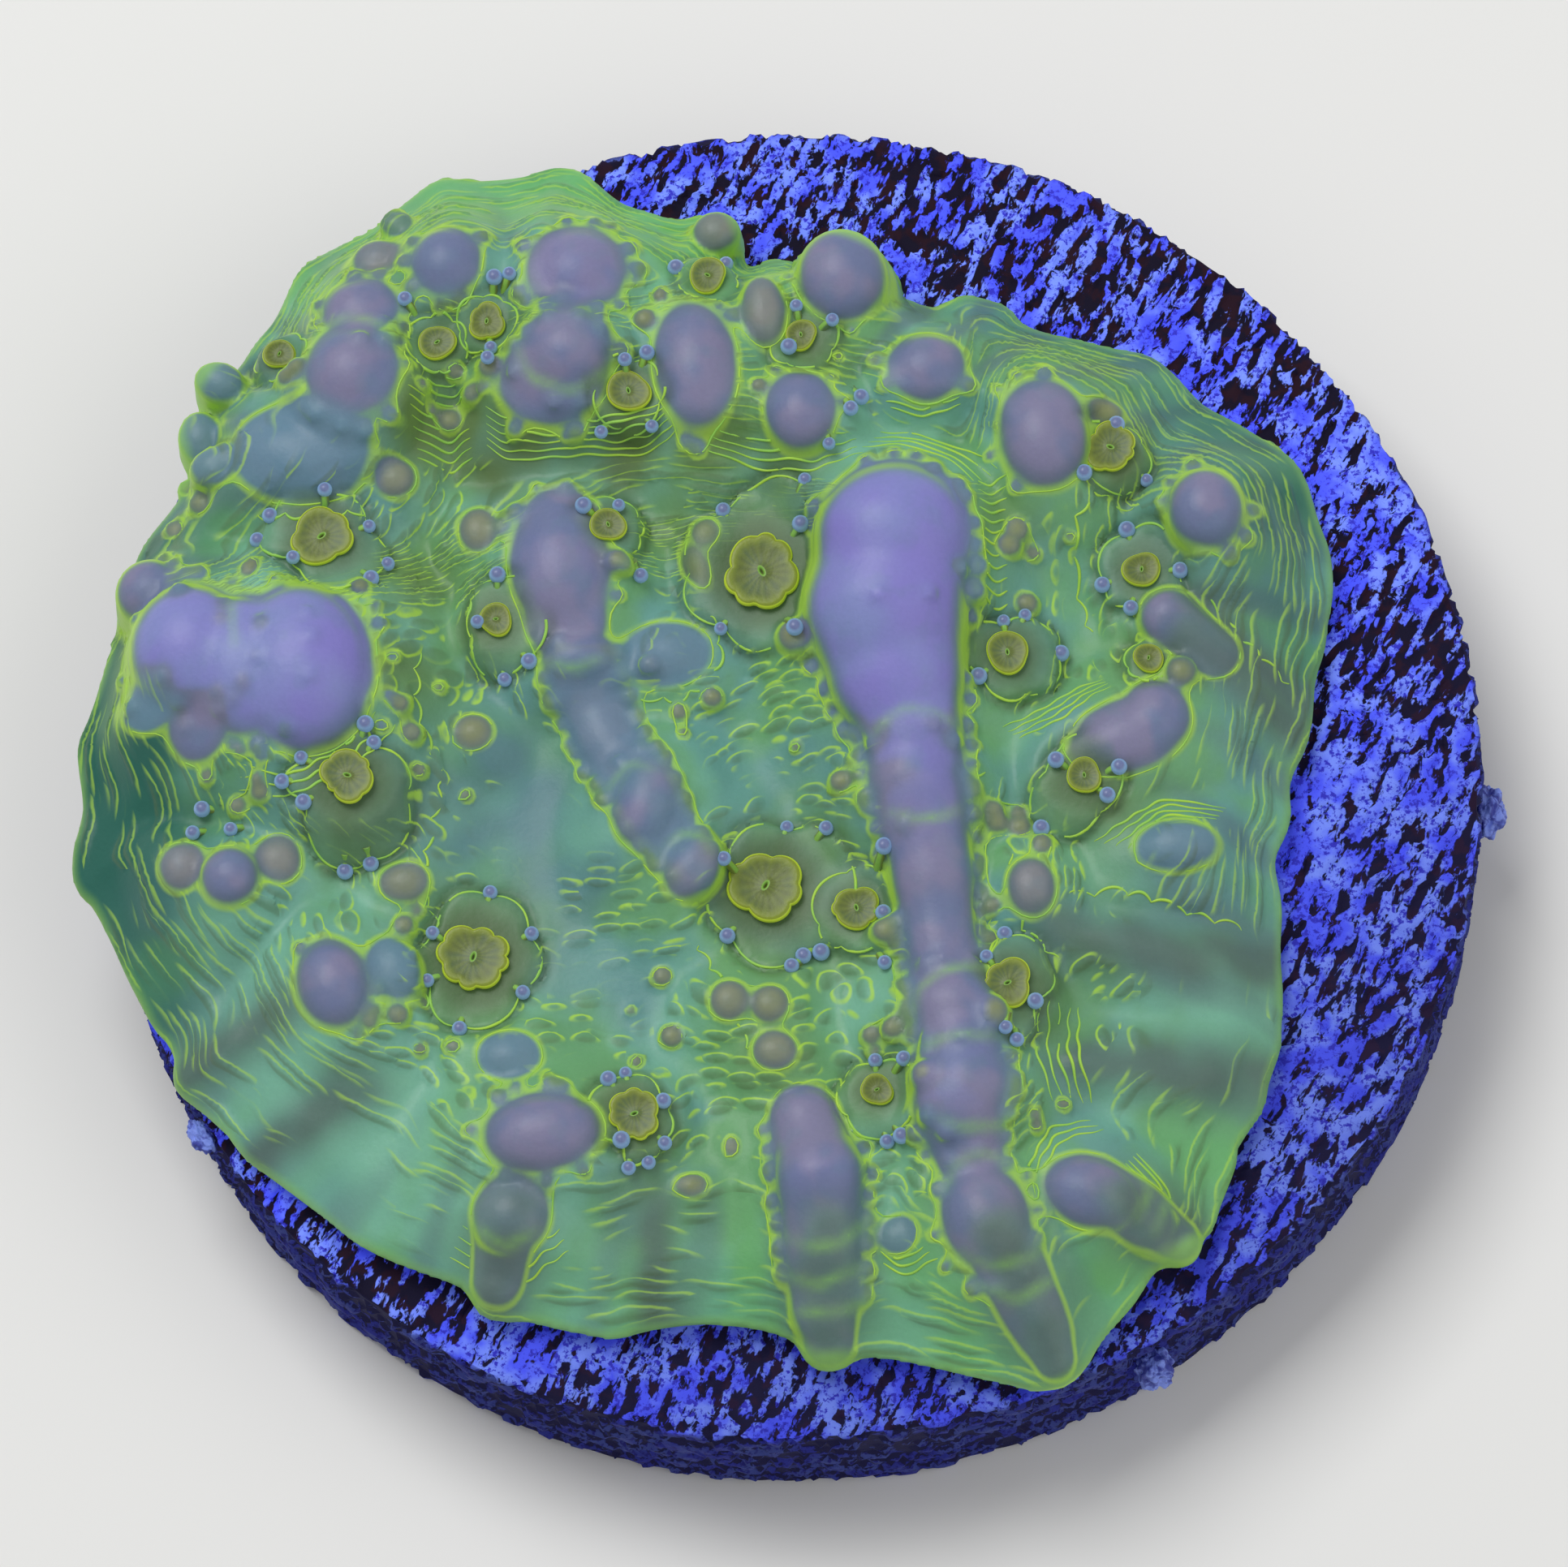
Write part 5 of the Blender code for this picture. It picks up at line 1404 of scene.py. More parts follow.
# Painted shade in the troughs of the pleats and towards the edges of the domes.
SLATE_SHADE = linear(88, 108, 124)
HILL_EDGE = linear(100, 138, 96)
LEAF = linear(104, 178, 106)
LIME = linear(164, 206, 72)
LIME_SOFT = linear(140, 196, 84)
# Brown-green of the septa, and of the painted shade behind the growth rows.
BROWN_GREEN = linear(82, 104, 66)
BLUE_TEAL = linear(84, 122, 132)
DIM_OLIVE = linear(96, 112, 44)
# Green of the painted rim glow on the flanks.
FLANK_GLOW = linear(108, 154, 92)
CUSHION = linear(108, 142, 108)
CUSHION_DEEP = linear(90, 120, 90)
CUSHION_DIM = linear(68, 90, 54)
# Painted shade in the grooves round the cushions and in the crevices between hills.
CREVICE_SHADE = linear(62, 84, 46)
OLIVE = linear(112, 126, 56)
ORAL_FLOOR = linear(84, 102, 66)
ORAL_BROWN = linear(92, 104, 50)
ORAL_SHADE = linear(124, 138, 44)
ORAL_RIM = linear(184, 204, 56)
TIP_GREY = linear(106, 116, 156)
# Painted limb glow at a bead's edge.
TIP_LIMB_GLOW = linear(132, 166, 206)
FLECK_DARK = linear(70, 70, 70)
FLECK_LIGHT = linear(186, 186, 186)
GLOW = 0.13

# The plate's tints in the order that they are laid on, each with its colour and strength.
PLATE_TINTS = {
    "blue": (BLUE_TEAL, 0.9), "pale": (TEAL_PALE, 0.9), "deep": (DEEP_TEAL, 0.9), "olive": (DIM_OLIVE, 0.8),
}


def tissue(s, colour, grain_scale, grain_amount, depth, roughness=0.42, mottle=None):
    """Living tissue: fine flecks, soft gloss, light that sinks in, and a weak glow of its own colour."""
    grain = s.noise(grain_scale, 3.0)
    colour = s.mix(grain_amount, colour, s.mix(grain, FLECK_DARK, FLECK_LIGHT), "OVERLAY")
    relief = s.plus(mottle, s.times(grain, 0.5)) if mottle else grain
    return s.finish(
        Base_Color=colour, Roughness=roughness, IOR=1.36, Subsurface_Weight=0.2, Subsurface_Scale=0.4 * MM,
        Subsurface_Radius=(0.7, 1.0, 0.6), Emission_Color=colour, Emission_Strength=GLOW,
        Normal=s.bump(relief, depth, 0.5),
    )


def plate_colour(s):
    """Teal and green, slate painted shade in the troughs of the pleats, leafy or dim towards the margin."""
    inset, pleat, blush = (s.attribute(name) for name in ("inset", "pleat", "blush"))
    teal = s.mix(s.ramp(s.noise(0.22), 0.42, 0.58), TEAL, TEAL_PALE)
    colour = s.mix(s.ramp(s.noise(0.34, 3.0), 0.40, 0.60), GREEN, teal)
    # Painted shade: slate in the troughs of the pleats.
    trough_shade = s.times(s.ramp(pleat, 0.1, -0.7), s.ramp(inset, 7.0, 2.0))
    colour = s.mix(s.times(trough_shade, 0.65), colour, SLATE_SHADE)
    colour = s.mix(s.ramp(pleat, 0.2, 0.8, 0.0, 0.3), colour, LEAF)
    colour = s.mix(s.ramp(blush, 0.0, 1.0), colour, LEAF)
    colour = s.mix(s.ramp(blush, 0.0, -1.0), colour, DEEP_TEAL)
    for mark, (tint, share) in PLATE_TINTS.items():
        colour = s.tinted(colour, tint, mark, share)
    return colour


def hill_colour(s):
    """Olive on the smallest knobs, mauve on the domes and violet on the broadest, with painted slate shade
    near their edges.
    """
    girth, within = s.attribute("girth"), s.attribute("within")
    mauve = s.mix(s.ramp(s.noise(0.7), 0.40, 0.60), MAUVE, MAUVE_WARM)
    violet = s.mix(s.ramp(s.noise(0.4), 0.35, 0.70), VIOLET, VIOLET_PALE)
    hill = s.mix(s.ramp(girth, 0.40, 0.75), OLIVE_NUB, mauve)
    hill = s.mix(s.ramp(girth, 1.15, 1.5), hill, violet)
    hill = s.mix(s.ramp(s.noise(1.3), 0.52, 0.70, 0.0, 0.14), hill, TEAL_HILL)
    # Painted shade: slate towards the edge of each dome, where it turns away.
    hill = s.mix(s.ramp(within, 0.42, 0.05, 0.0, 0.6), hill, SLATE_SHADE)
    hill = s.mix(s.ramp(within, 0.20, 0.0, 0.0, 0.6), hill, HILL_EDGE)
    teal = s.mix(s.ramp(girth, 0.28, 0.5), HILL_EDGE, TEAL_HILL)
    return s.tinted(hill, teal, "teal", 0.8)


def lime_edge(s, slope, within):
    """Lime: a painted rim glow where the tissue turns edge-on, and a line at the foot of each hill."""
    limb_glow = s.times(s.ramp(slope, 0.44, 0.70), s.ramp(slope, 0.97, 0.80, 0.12, 0.85))
    limb_glow = s.times(limb_glow, s.ramp(within, -0.34, -0.10, 0.12, 1.0))
    foot = s.times(s.ramp(within, -0.12, -0.01, 0.0, 0.85), s.ramp(within, 0.14, 0.0, 0.0, 0.75))
    return s.math("MAXIMUM", limb_glow, s.times(foot, s.ramp(slope, 0.02, 0.12, 0.2, 1.0)))


def flesh_material():
    """Mauve domes, teal and green between, a painted lime rim glow where it turns edge-on, painted shade in
    hollows.
    """
    s = Shades("coral_flesh")
    slope, within, fold = (s.attribute(name) for name in ("slope", "within", "fold"))
    edge, row_shade, _ = growth_rows(s, s.place)
    mottle = s.noise(1.6, 3.0)
    colour = s.tinted(plate_colour(s), FOLD_SHADE, "fold", 0.85)
    hill = s.tinted(hill_colour(s), FOLD_SHADE, "fold", 0.65)
    colour = s.mix(s.times(s.ramp(within, -0.03, 0.14), s.ramp(fold, 0.2, 1.0, 1.0, 0.4)), colour, hill)
    cushion = s.mix(s.ramp(mottle, 0.35, 0.65), CUSHION_DEEP, CUSHION)
    cushion = s.tinted(cushion, BROWN_GREEN, "septa", 0.45)
    colour = s.tinted(colour, cushion, "cup", 0.4)
    colour = s.tinted(colour, CUSHION_DIM, "mouth", 0.8)
    # Painted shade: darker in the groove round each cushion and in the crevices between hills.
    colour = s.tinted(colour, CREVICE_SHADE, "groove", 0.6)
    colour = s.tinted(colour, CREVICE_SHADE, "hollow_shade", 0.55)
    # Painted rim glow: green on the flanks, then lime where the tissue turns edge-on.
    flank_glow = s.times(s.ramp(slope, 0.32, 0.62), s.ramp(within, -0.34, -0.10, 0.15, 0.5))
    colour = s.mix(flank_glow, colour, FLANK_GLOW)
    colour = s.mix(lime_edge(s, slope, within), colour, LIME)
    colour = s.tinted(colour, LIME_SOFT, "crease", 0.5)
    # Painted shade behind each growth row's edge.
    colour = s.mix(s.times(row_shade, 0.42), colour, BROWN_GREEN)
    colour = s.mix(s.times(edge, 0.8), colour, LIME)
    colour = s.mix(s.ramp(s.attribute("inset"), 0.35, 0.0, 0.0, 0.6), colour, LIME_SOFT)
    return tissue(s, colour, 9.0, 0.12, 0.025, mottle=mottle)


def two_tone(s, scale, first, second):
    """Soft patches of two colours."""
    return s.mix(s.ramp(s.noise(scale), 0.35, 0.65), first, second)


def rim_material():
    """The thin lime edge of a cushion, a hill or a growth line."""
    s = Shades("cushion_rim")
    return tissue(s, two_tone(s, 1.1, LIME_SOFT, LIME), 12.0, 0.1, 0.008)


def stalk_material():
    """Olive, browner in patches, with a painted lime rim glow on the flanks."""
    s = Shades("tentacle_stalk")
    flank_glow = s.ramp(s.attribute("flank_glow"), 0.6, 0.95, 0.0, 0.7)
    return tissue(s, s.mix(flank_glow, two_tone(s, 1.8, CUSHION_DEEP, OLIVE), LIME_SOFT), 12.0, 0.1, 0.008)


def oral_material():
    """An olive floor with faint spokes that turns yellow towards a lime rim."""
    s = Shades("oral_disc")
    rim = s.attribute("rim")
    floor = s.tinted(two_tone(s, 1.5, ORAL_FLOOR, ORAL_BROWN), OLIVE, "spoke", 0.5)
    colour = s.mix(s.ramp(rim, 0.64, 0.95), floor, ORAL_SHADE)
    colour = s.mix(s.ramp(rim, 0.962, 0.99), colour, ORAL_RIM)
    colour = s.tinted(colour, LIME_SOFT, "mouth", 0.7)
    return tissue(s, colour, 11.0, 0.15, 0.012, roughness=0.35)


def tip_material():
    """A grey-violet bead with a painted pale blue limb glow at its edge."""
    s = Shades("tentacle_tip")
    colour = s.mix(s.ramp(s.attribute("rim"), 0.45, 0.85), TIP_GREY, TIP_LIMB_GLOW)
    return tissue(s, colour, 14.0, 0.08, 0.006, roughness=0.25)


# ---------------------------------------------------------------- polyps


def turned_faces(rings, count, first=0):
    """Quads between rings of points, the first one outermost or lowest, and a face to close each end."""
    ring = first + np.arange(count)
    onward = np.roll(ring, -1)
    band = np.stack([ring, onward, onward + count, ring + count], axis=1)
    quads = np.vstack([band + k * count for k in range(rings - 1)])
    return quads.tolist() + [(ring + (rings - 1) * count).tolist(), ring[::-1].tolist()]


ORAL_SEGMENTS = 72
ORAL_BEARINGS = np.arange(ORAL_SEGMENTS) * math.tau / ORAL_SEGMENTS
ORAL_SPOKES = 16
# An oral disc's section from its buried foot to its mouth: share of the radius, height.
ORAL_SECTION = [
    (0.88, -0.30), (0.95, -0.10), (1.00, 0.03), (1.03, 0.11), (1.025, 0.17), (0.99, 0.215), (0.94, 0.235),
    (0.87, 0.235), (0.75, 0.22), (0.60, 0.20), (0.45, 0.19), (0.32, 0.185), (0.22, 0.19), (0.15, 0.205),
    (0.115, 0.21), (0.085, 0.18), (0.045, 0.11), (0.015, 0.07),
]


def lobed_outline(bearings, lobes, random):
    """The edge of an oral disc: uneven rounded lobes with small notches between them."""
    count = lobes or 3
    stops = np.sort((np.arange(count) + random.uniform(-0.3, 0.3, count)) * math.tau / count % math.tau)
    after = np.searchsorted(stops, bearings)
    low, high = stops[(after - 1) % count], stops[after % count]
    width = (high - low) % math.tau
    share = (bearings - low) % math.tau / width
    bulge = np.sin(math.pi * np.clip(share, 0, 1)) ** 0.6 * np.sqrt(width * count / math.tau)
    outline = 1.0 + (0.16 if lobes else 0.04) * (bulge - 0.75)
    for waves, depth in ((2, 0.06), (3, 0.04)):
        outline += depth * np.cos(waves * bearings + random.uniform(0, 6))
    return outline


def oral_rings(x, y, z, radius, lobes, random):
    """One lobed disc with a slit mouth, as rings of points."""
    outline = lobed_outline(ORAL_BEARINGS, lobes, random)
    slit = random.uniform(0, math.pi)
    points = []
    for share, height in ORAL_SECTION:
        wave = 1.0 + (outline - 1.0) * min(1.0, share**1.5 * 1.2)
        thinning = max(0.0, 0.3 - share) / 0.3
        u = share * radius * wave * np.cos(ORAL_BEARINGS - slit) * (1.0 + 0.5 * thinning)
        v = share * radius * wave * np.sin(ORAL_BEARINGS - slit) * (1.0 - 0.55 * thinning)
        u, v = turned(u, v, -slit)
        sag = 0.03 * (outline - 1.0) * smoothstep((share - 0.3) / 0.6)
        points.extend(zip(x + u, y + v, z + (height + sag) * (0.45 + 0.55 * radius)))
    return points


def build_oral_discs(plan, skin, random, material):
    """The oral disc of each polyp, seated on its cushion."""
    points, faces = [], []
    around = np.arange(8) * math.tau / 8
    for x, y, radius, _, lobes in POLYPS.values():
        edge = plan.sample(skin, x + 0.9 * radius * np.cos(around), y + 0.9 * radius * np.sin(around))
        z = max(float(plan.sample(plan.top, x, y)), float(np.median(edge)))
        faces += turned_faces(len(ORAL_SECTION), ORAL_SEGMENTS, len(points))
        points += oral_rings(x, y, z, radius, lobes, random)
    obj = mesh_object("oral_discs", points, faces, material)
    rim = np.tile(np.repeat([share for share, _ in ORAL_SECTION], ORAL_SEGMENTS), len(POLYPS))
    spokes = 0.5 + 0.5 * np.cos(ORAL_SPOKES * ORAL_BEARINGS + 1.5 * np.sin(3 * ORAL_BEARINGS))
    paint(obj, "rim", rim)
    paint(obj, "mouth", (rim > 0.08) & (rim < 0.13))
    paint(obj, "spoke", np.tile(spokes, len(rim) // ORAL_SEGMENTS))
    return obj


TIP_RADIUS = 0.185
TIP_HEIGHT = 0.15
STALK_LENGTH = 0.36


def build_tips(plan, skin, material):
    """A bead at the end of each tentacle, made by a tree."""
    x, y = np.array(TIP_SPOTS).T
    carrier = mesh_object("tip_places", np.stack([x, y, plan.sample(skin, x, y) + TIP_HEIGHT], axis=1), [])
    g = Grower("tentacle_tips", {"Bead Radius": TIP_RADIUS * MM, "Least Size": 0.82, "Most Size": 1.12})
    radius = g.given["Bead Radius"]
    bead = g.node("GeometryNodeMeshUVSphere", Segments=16, Rings=10, Radius=radius)
    x, y, _ = g.split(g.node("GeometryNodeInputPosition"))
    # How far out from the bead's middle a point is, seen from above, for its painted limb glow.
    across = g.math("DIVIDE", g.math("SQRT", g.plus(g.times(x, x), g.times(y, y))), radius)
    bead = g.node("GeometryNodeStoreNamedAttribute", Geometry=bead, Name="rim", Value=across)
    size = g.add("FunctionNodeRandomValue", {"data_type": "FLOAT"})
    g.put(size.inputs[2], g.given["Least Size"])
    g.put(size.inputs[3], g.given["Most Size"])
    size.inputs["Seed"].default_value = SEED
    g.made = g.node("GeometryNodeInstanceOnPoints", Points=g.given[0], Instance=bead, Scale=size.outputs[1])
    return g.grow(carrier, "tentacle_tips", material)


def laid_on(plan, skin, x, y, radius):
    """A strand's rows of x, y, z and radius, with its middle on the skin."""
    return np.stack([x, y, plan.sample(skin, x, y), radius], axis=1)


def cup_rim_strands(plan, skin):
    """The thin lime edge of each polyp's cushion, in pieces between its notches."""
    strands = []
    for name, (x, y, _, _, _) in POLYPS.items():
        turns, radii, notches = (np.append(part, part[0]) for part in OUTLINES[name])
        px, py = x + radii * np.cos(turns), y + radii * np.sin(turns)
        fade = wander(px, py, 0.7, 67.0)
        clear = (plan.sample(skin - plan.top, px, py) < 0.08) & (fade > -0.45)
        rows = laid_on(plan, skin, px, py, (0.016 + 0.018 * notches) * (1.0 + 0.5 * fade))
        rows[:, 2] += 0.003
        kept = []
        for row, is_clear, is_notch in zip(rows, clear, notches == 0.0):
            if is_clear:
                kept.append(row)
            if is_notch or not is_clear:
                strands.append(np.array(kept))
                kept = [row] if is_clear else []
        strands.append(np.array(kept))
    return [strand for strand in strands if len(strand) > 3]


def level_lines(field, level, plan):
    """The lines on the plan where a field passes a level, each a list of points."""
    ahead = field > level
    crossings = {}
    for axis, (di, dj) in enumerate(((1, 0), (0, 1))):
        a = field[:field.shape[0] - di, :field.shape[1] - dj] - level
        b = field[di:, dj:] - level
        for i, j in np.argwhere((a > 0) != (b > 0)).tolist():
            t = a[i, j] / (a[i, j] - b[i, j])
            crossings[(i, j, axis)] = (plan.xs[i] + di * t * plan.STEP, plan.ys[j] + dj * t * plan.STEP)
    mixed = ahead[:-1, :-1].astype(int) + ahead[1:, :-1] + ahead[:-1, 1:] + ahead[1:, 1:]
    links = {}
    for i, j in np.argwhere((mixed > 0) & (mixed < 4)).tolist():
        sides = [k for k in ((i, j, 0), (i + 1, j, 1), (i, j + 1, 0), (i, j, 1)) if k in crossings]
        for a, b in zip(sides[::2], sides[1::2]):
            links.setdefault(a, []).append(b)
            links.setdefault(b, []).append(a)
    lines = []
    left = set(links)
    for start in sorted(links):
        chain, onward = [], [start] if start in left else []
        while onward:
            chain.append(onward[0])
            left.discard(onward[0])
            onward = [k for k in links[chain[-1]] if k in left]
        if chain:
            if chain[0] in links[chain[-1]]:
                chain.append(chain[0])
            lines.append(np.array([crossings[k] for k in chain]))
    return lines


def off_hills(plan, x, y):
    return plan.sample(plan.within, x, y) < -0.02


def unbroken(rows, keep):
    """The runs of a strand's rows that are kept, each longer than five rows."""
    breaks = np.flatnonzero(np.diff(keep.astype(int))) + 1
    pieces = zip(np.split(rows, breaks), np.split(keep, breaks))
    return [piece for piece, kept in pieces if kept[0] and len(kept) > 5]


def hill_rim_strands(plan, skin):
    """The lime line where each dome and ridge springs from the plate, where the ground is not too steep."""
    steep = np.hypot(*np.gradient(blur(skin, 1), plan.STEP))
    strands = []
    for path in level_lines(plan.within, -0.01, plan):
        path = path[::2]
        for _ in range(2):
            path[1:-1] = 0.25 * path[:-2] + 0.5 * path[1:-1] + 0.25 * path[2:]
        x, y = path.T
        fade = wander(x, y, 0.6, 61.0)
        rows = laid_on(plan, skin, x, y, 0.020 + 0.016 * fade)
        strands += unbroken(rows, (plan.sample(steep, x, y) < 1.3) & (fade > -0.6))
    return strands


def festoon_strands(plan, skin):
    """The lines of each festoon, wavering and broken, with tapered ends."""
    strands = []
    for first, last, count in FESTOONS.values():
        a, b = nest_sides(first, last)
        share = np.linspace(0.0, 1.0, a.shape[1])
        width = np.maximum(np.hypot(*(b - a)), 1e-6)
        gap, across = width / count, (b - a) / width
        for k in range(count):
            x, y = a + (b - a) * k / count
            shift = gap * (0.5 * wander(x, y, 1.8, 81.0) + 0.12 * np.sin(8.0 * (x + y) + 2.0 * k))
            x, y = x + across[0] * shift, y + across[1] * shift
            fade = wander(x, y, 0.8, 83.0 + k)
            taper = np.clip(np.sin(math.pi * share), 0.03, 1.0) ** 0.5
            rows = laid_on(plan, skin, x, y, (0.034 + 0.014 * fade) * taper)
            strands += unbroken(rows, (fade > -0.7) & off_hills(plan, x, y))
    return strands


SCALLOP = 0.225
SCALLOP_DEPTH = 0.16


def seam_strands(plan, skin):
    """Each seam as a chain of small scallops."""
    strands = []
    for stations in SEAMS.values():
        (x, y), stops = smooth_run(stations)
        along = np.stack([np.gradient(x), np.gradient(y)]) / np.hypot(np.gradient(x), np.gradient(y))
        beat = np.abs(np.sin(stops / SCALLOP + 1.2 * wander(x, y, 1.1, 71.0))) ** 0.7
        x, y = x - along[1] * SCALLOP_DEPTH * beat, y + along[0] * SCALLOP_DEPTH * beat
        taper = np.sin(math.pi * np.linspace(0.03, 0.97, len(stops))) ** 0.4
        rows = laid_on(plan, skin, x, y, (0.022 + 0.02 * beat) * taper)
        strands += unbroken(rows, off_hills(plan, x, y))
    return strands


def stalk_strands(plan, skin):
    """A short stalk from the cushion's edge to the bead of each tentacle."""
    centres = np.array([polyp[:2] for polyp in POLYPS.values()])
    t = np.linspace(0.0, 1.0, 8)
    strands = []
    for tip in TIP_SPOTS:
        inward = centres - tip
        inward = inward[np.hypot(*inward.T).argmin()]
        inward = inward / max(np.hypot(*inward), 1e-6)
        x, y = (tip[k] + inward[k] * STALK_LENGTH * (1 - t) for k in (0, 1))
        ground = plan.sample(skin, x, y) * (1 - t) + plan.sample(skin, *tip) * t
        strands.append(np.stack([x, y, ground + 0.30 * smoothstep(t / 0.8) - 0.17, 0.13 - 0.06 * t], axis=1))
    return strands


# ---------------------------------------------------------------- the disc

CERAMIC_BRIGHT = linear(126, 152, 255)
CERAMIC_MID = linear(80, 94, 255)
CERAMIC_FLECK = linear(50, 48, 176)
CERAMIC_PIT = linear(12, 6, 30)
CERAMIC_RUST = linear(34, 10, 24)
# Painted shade towards the south-east and down the disc's side.
CERAMIC_SHADE = linear(20, 20, 62)
CERAMIC_LIT = linear(40, 50, 255)
CERAMIC_GLOW = 0.22
PORE_BEARING = math.radians(56.0)
PORE_STRETCH = (0.42, 1.0, 1.0)
DISC_SEGMENTS = 760
EDGE_WEAR = 0.05


def ceramic_pores(w, side, place):
    """How deep a point lies in the ceramic's pores, 0 to 1: drawn out by the saw, round on the side."""
    sawn = w.node("ShaderNodeVectorRotate", {"rotation_type": "Z_AXIS"}, Vector=place, Angle=-PORE_BEARING)
    drawn = w.noise(3.4, 3.0, 0.60, vector=w.vector_math("MULTIPLY", sawn, PORE_STRETCH), distortion=0.25)
    upright = w.noise(2.3, 3.0, 0.6, vector=w.vector_math("MULTIPLY", place, (1.0, 1.0, 1.5)))
    pitted = w.between(side, drawn, upright)
    patch = w.times(w.minus(w.noise(0.3, 1.0), 0.5), 0.30)
    return w.ramp(w.plus(w.plus(pitted, patch), w.times(side, 0.03)), 0.474, 0.524)


def disc_profile():
    """The disc's section from its middle over the face, down the side and under: radius, height, side."""
    rows = [(radius, 0.0, 0.0) for radius in (1.0, 2.4, 4.0, 5.6, 7.2, 8.4)]
    rows += [(radius, 0.0, 0.0) for radius in np.arange(8.6, DISC_RADIUS - 0.2, 0.125)]
    rows += [(DISC_RADIUS - 0.11, -0.03, 0.2), (DISC_RADIUS - 0.03, -0.11, 0.7)]
    rows += [(DISC_RADIUS - 0.01, -drop, 1.0) for drop in np.arange(0.25, DISC_TOP - 0.1, 0.14)]
    return rows + [(DISC_RADIUS - 0.12, -DISC_TOP, 1.0), (14.0, -DISC_TOP, 0.5), (1.0, -DISC_TOP, 0.5)]


def pit_disc(blank, material):
    """Sinks the pores and raises the grit of the blank disc, all but its underside."""
    g = Grower("ceramic_pores", {"Pore Depth": 0.14 * MM, "Grit Height": 0.05 * MM})
    g.place = g.node("GeometryNodeInputPosition")
    pore = ceramic_pores(g, g.attribute("side"), g.place)
    grit = g.minus(g.noise(2.0), 0.5)
    rise = g.minus(g.times(grit, g.given["Grit Height"]), g.times(pore, g.given["Pore Depth"]))
    g.lift(g.times(rise, g.math("GREATER_THAN", g.split(g.place)[2], 0.1 * MM)))
    return g.grow(blank, "ceramic_disc", material)


def build_disc(material):
    """Sawn face, worn edge, rough turned side and flat underside, pitted by a tree."""
    bearings = np.arange(DISC_SEGMENTS) * math.tau / DISC_SEGMENTS
    cosine, sine = np.cos(bearings), np.sin(bearings)
    wear = EDGE_WEAR * wander(8 * cosine, 8 * sine, 1.0, 41.0)
    wear += EDGE_WEAR * wander(30 * cosine, 30 * sine, 1.0, 43.0)
    rows = disc_profile()
    points = []
    for radius, height, _ in rows:
        worn = radius + wear * smoothstep((radius - 15.0) / 0.9)
        points.append(np.stack([worn * cosine, worn * sine, np.full(DISC_SEGMENTS, height)], axis=1))
    # The section runs downwards, so each face is turned over, from the same corner.
    faces = [face[:1] + face[:0:-1] for face in turned_faces(len(rows), DISC_SEGMENTS)]
    blank = mesh_object("disc_blank", np.vstack(points), faces)
    paint(blank, "side", np.repeat([side for _, _, side in rows], DISC_SEGMENTS))
    obj = pit_disc(blank, material)
    obj.data.set_sharp_from_angle(angle=math.radians(60))
    return obj


def disc_material():
    """Lavender plateaus, navy and maroon in the pores, painted shade towards the south-east and down the
    side, a painted glow.
    """
    s = Shades("disc_ceramic")
    side = s.attribute("side")
    pore = ceramic_pores(s, side, s.place)
    face = s.mix(s.ramp(s.noise(1.1, 3.0), 0.40, 0.60), CERAMIC_BRIGHT, CERAMIC_MID)
    face = s.mix(s.ramp(s.noise(7.0, 3.0, 0.65), 0.50, 0.62), face, CERAMIC_FLECK)
    pit = s.mix(s.ramp(s.noise(2.4), 0.46, 0.60), CERAMIC_PIT, CERAMIC_RUST)
    colour = s.mix(pore, face, pit)
    east, north, _ = s.split(s.place)
    # Painted shade: darker towards the south-east and down the side.
    southward = s.minus(s.times(east, 0.5), north)
    disc_shade = s.math("MAXIMUM", s.ramp(southward, 0.0, 17.0 * MM, 0.0, 0.42), s.times(side, 0.85))
    colour = s.mix(disc_shade, colour, CERAMIC_SHADE)
    lit = s.mix(disc_shade, s.mix(pore, CERAMIC_LIT, CERAMIC_PIT), CERAMIC_SHADE)
    grit = s.noise(16.0, 4.0, 0.7)
    relief = s.plus(s.times(pore, -0.8), s.times(grit, 0.3))
    return s.finish(
        Base_Color=colour, Roughness=0.82, Specular_IOR_Level=0.2, Emission_Color=s.mix(0.7, colour, lit),
        Emission_Strength=CERAMIC_GLOW, Normal=s.bump(relief, 0.06, 0.7),
    )


# ---------------------------------------------------------------- specks on the rim

CALCITE_PALE = linear(126, 148, 240)
CALCITE_DARK = linear(50, 60, 160)
CALCITE_GRIT = linear(40, 26, 70)

# Calcified specks: bearing in degrees, height over the underside, half-sizes outwards, along, up.
RIM_SPECKS = {
    "rim_speck_west": (206.4, 3.85, (0.26, 0.42, 0.24)),
    "rim_speck_south_east": (294.5, 2.6, (0.48, 0.42, 0.62)),
    "rim_burr_east": (351.5, 2.5, (0.42, 0.62, 0.50)),
}


def speck_material():
    """Pale and dark blue bands with darker grit."""
    s = Shades("rim_calcite")
    bands = s.ramp(s.noise(3.0, 3.0, 0.6, distortion=0.6), 0.42, 0.60)
    colour = s.mix(bands, CALCITE_PALE, CALCITE_DARK)
    grit = s.noise(12.0, 4.0, 0.6)
    colour = s.mix(s.ramp(grit, 0.62, 0.74), colour, CALCITE_GRIT)
    return s.finish(Base_Color=colour, Roughness=0.6, Normal=s.bump(grit, 0.04, 0.7))


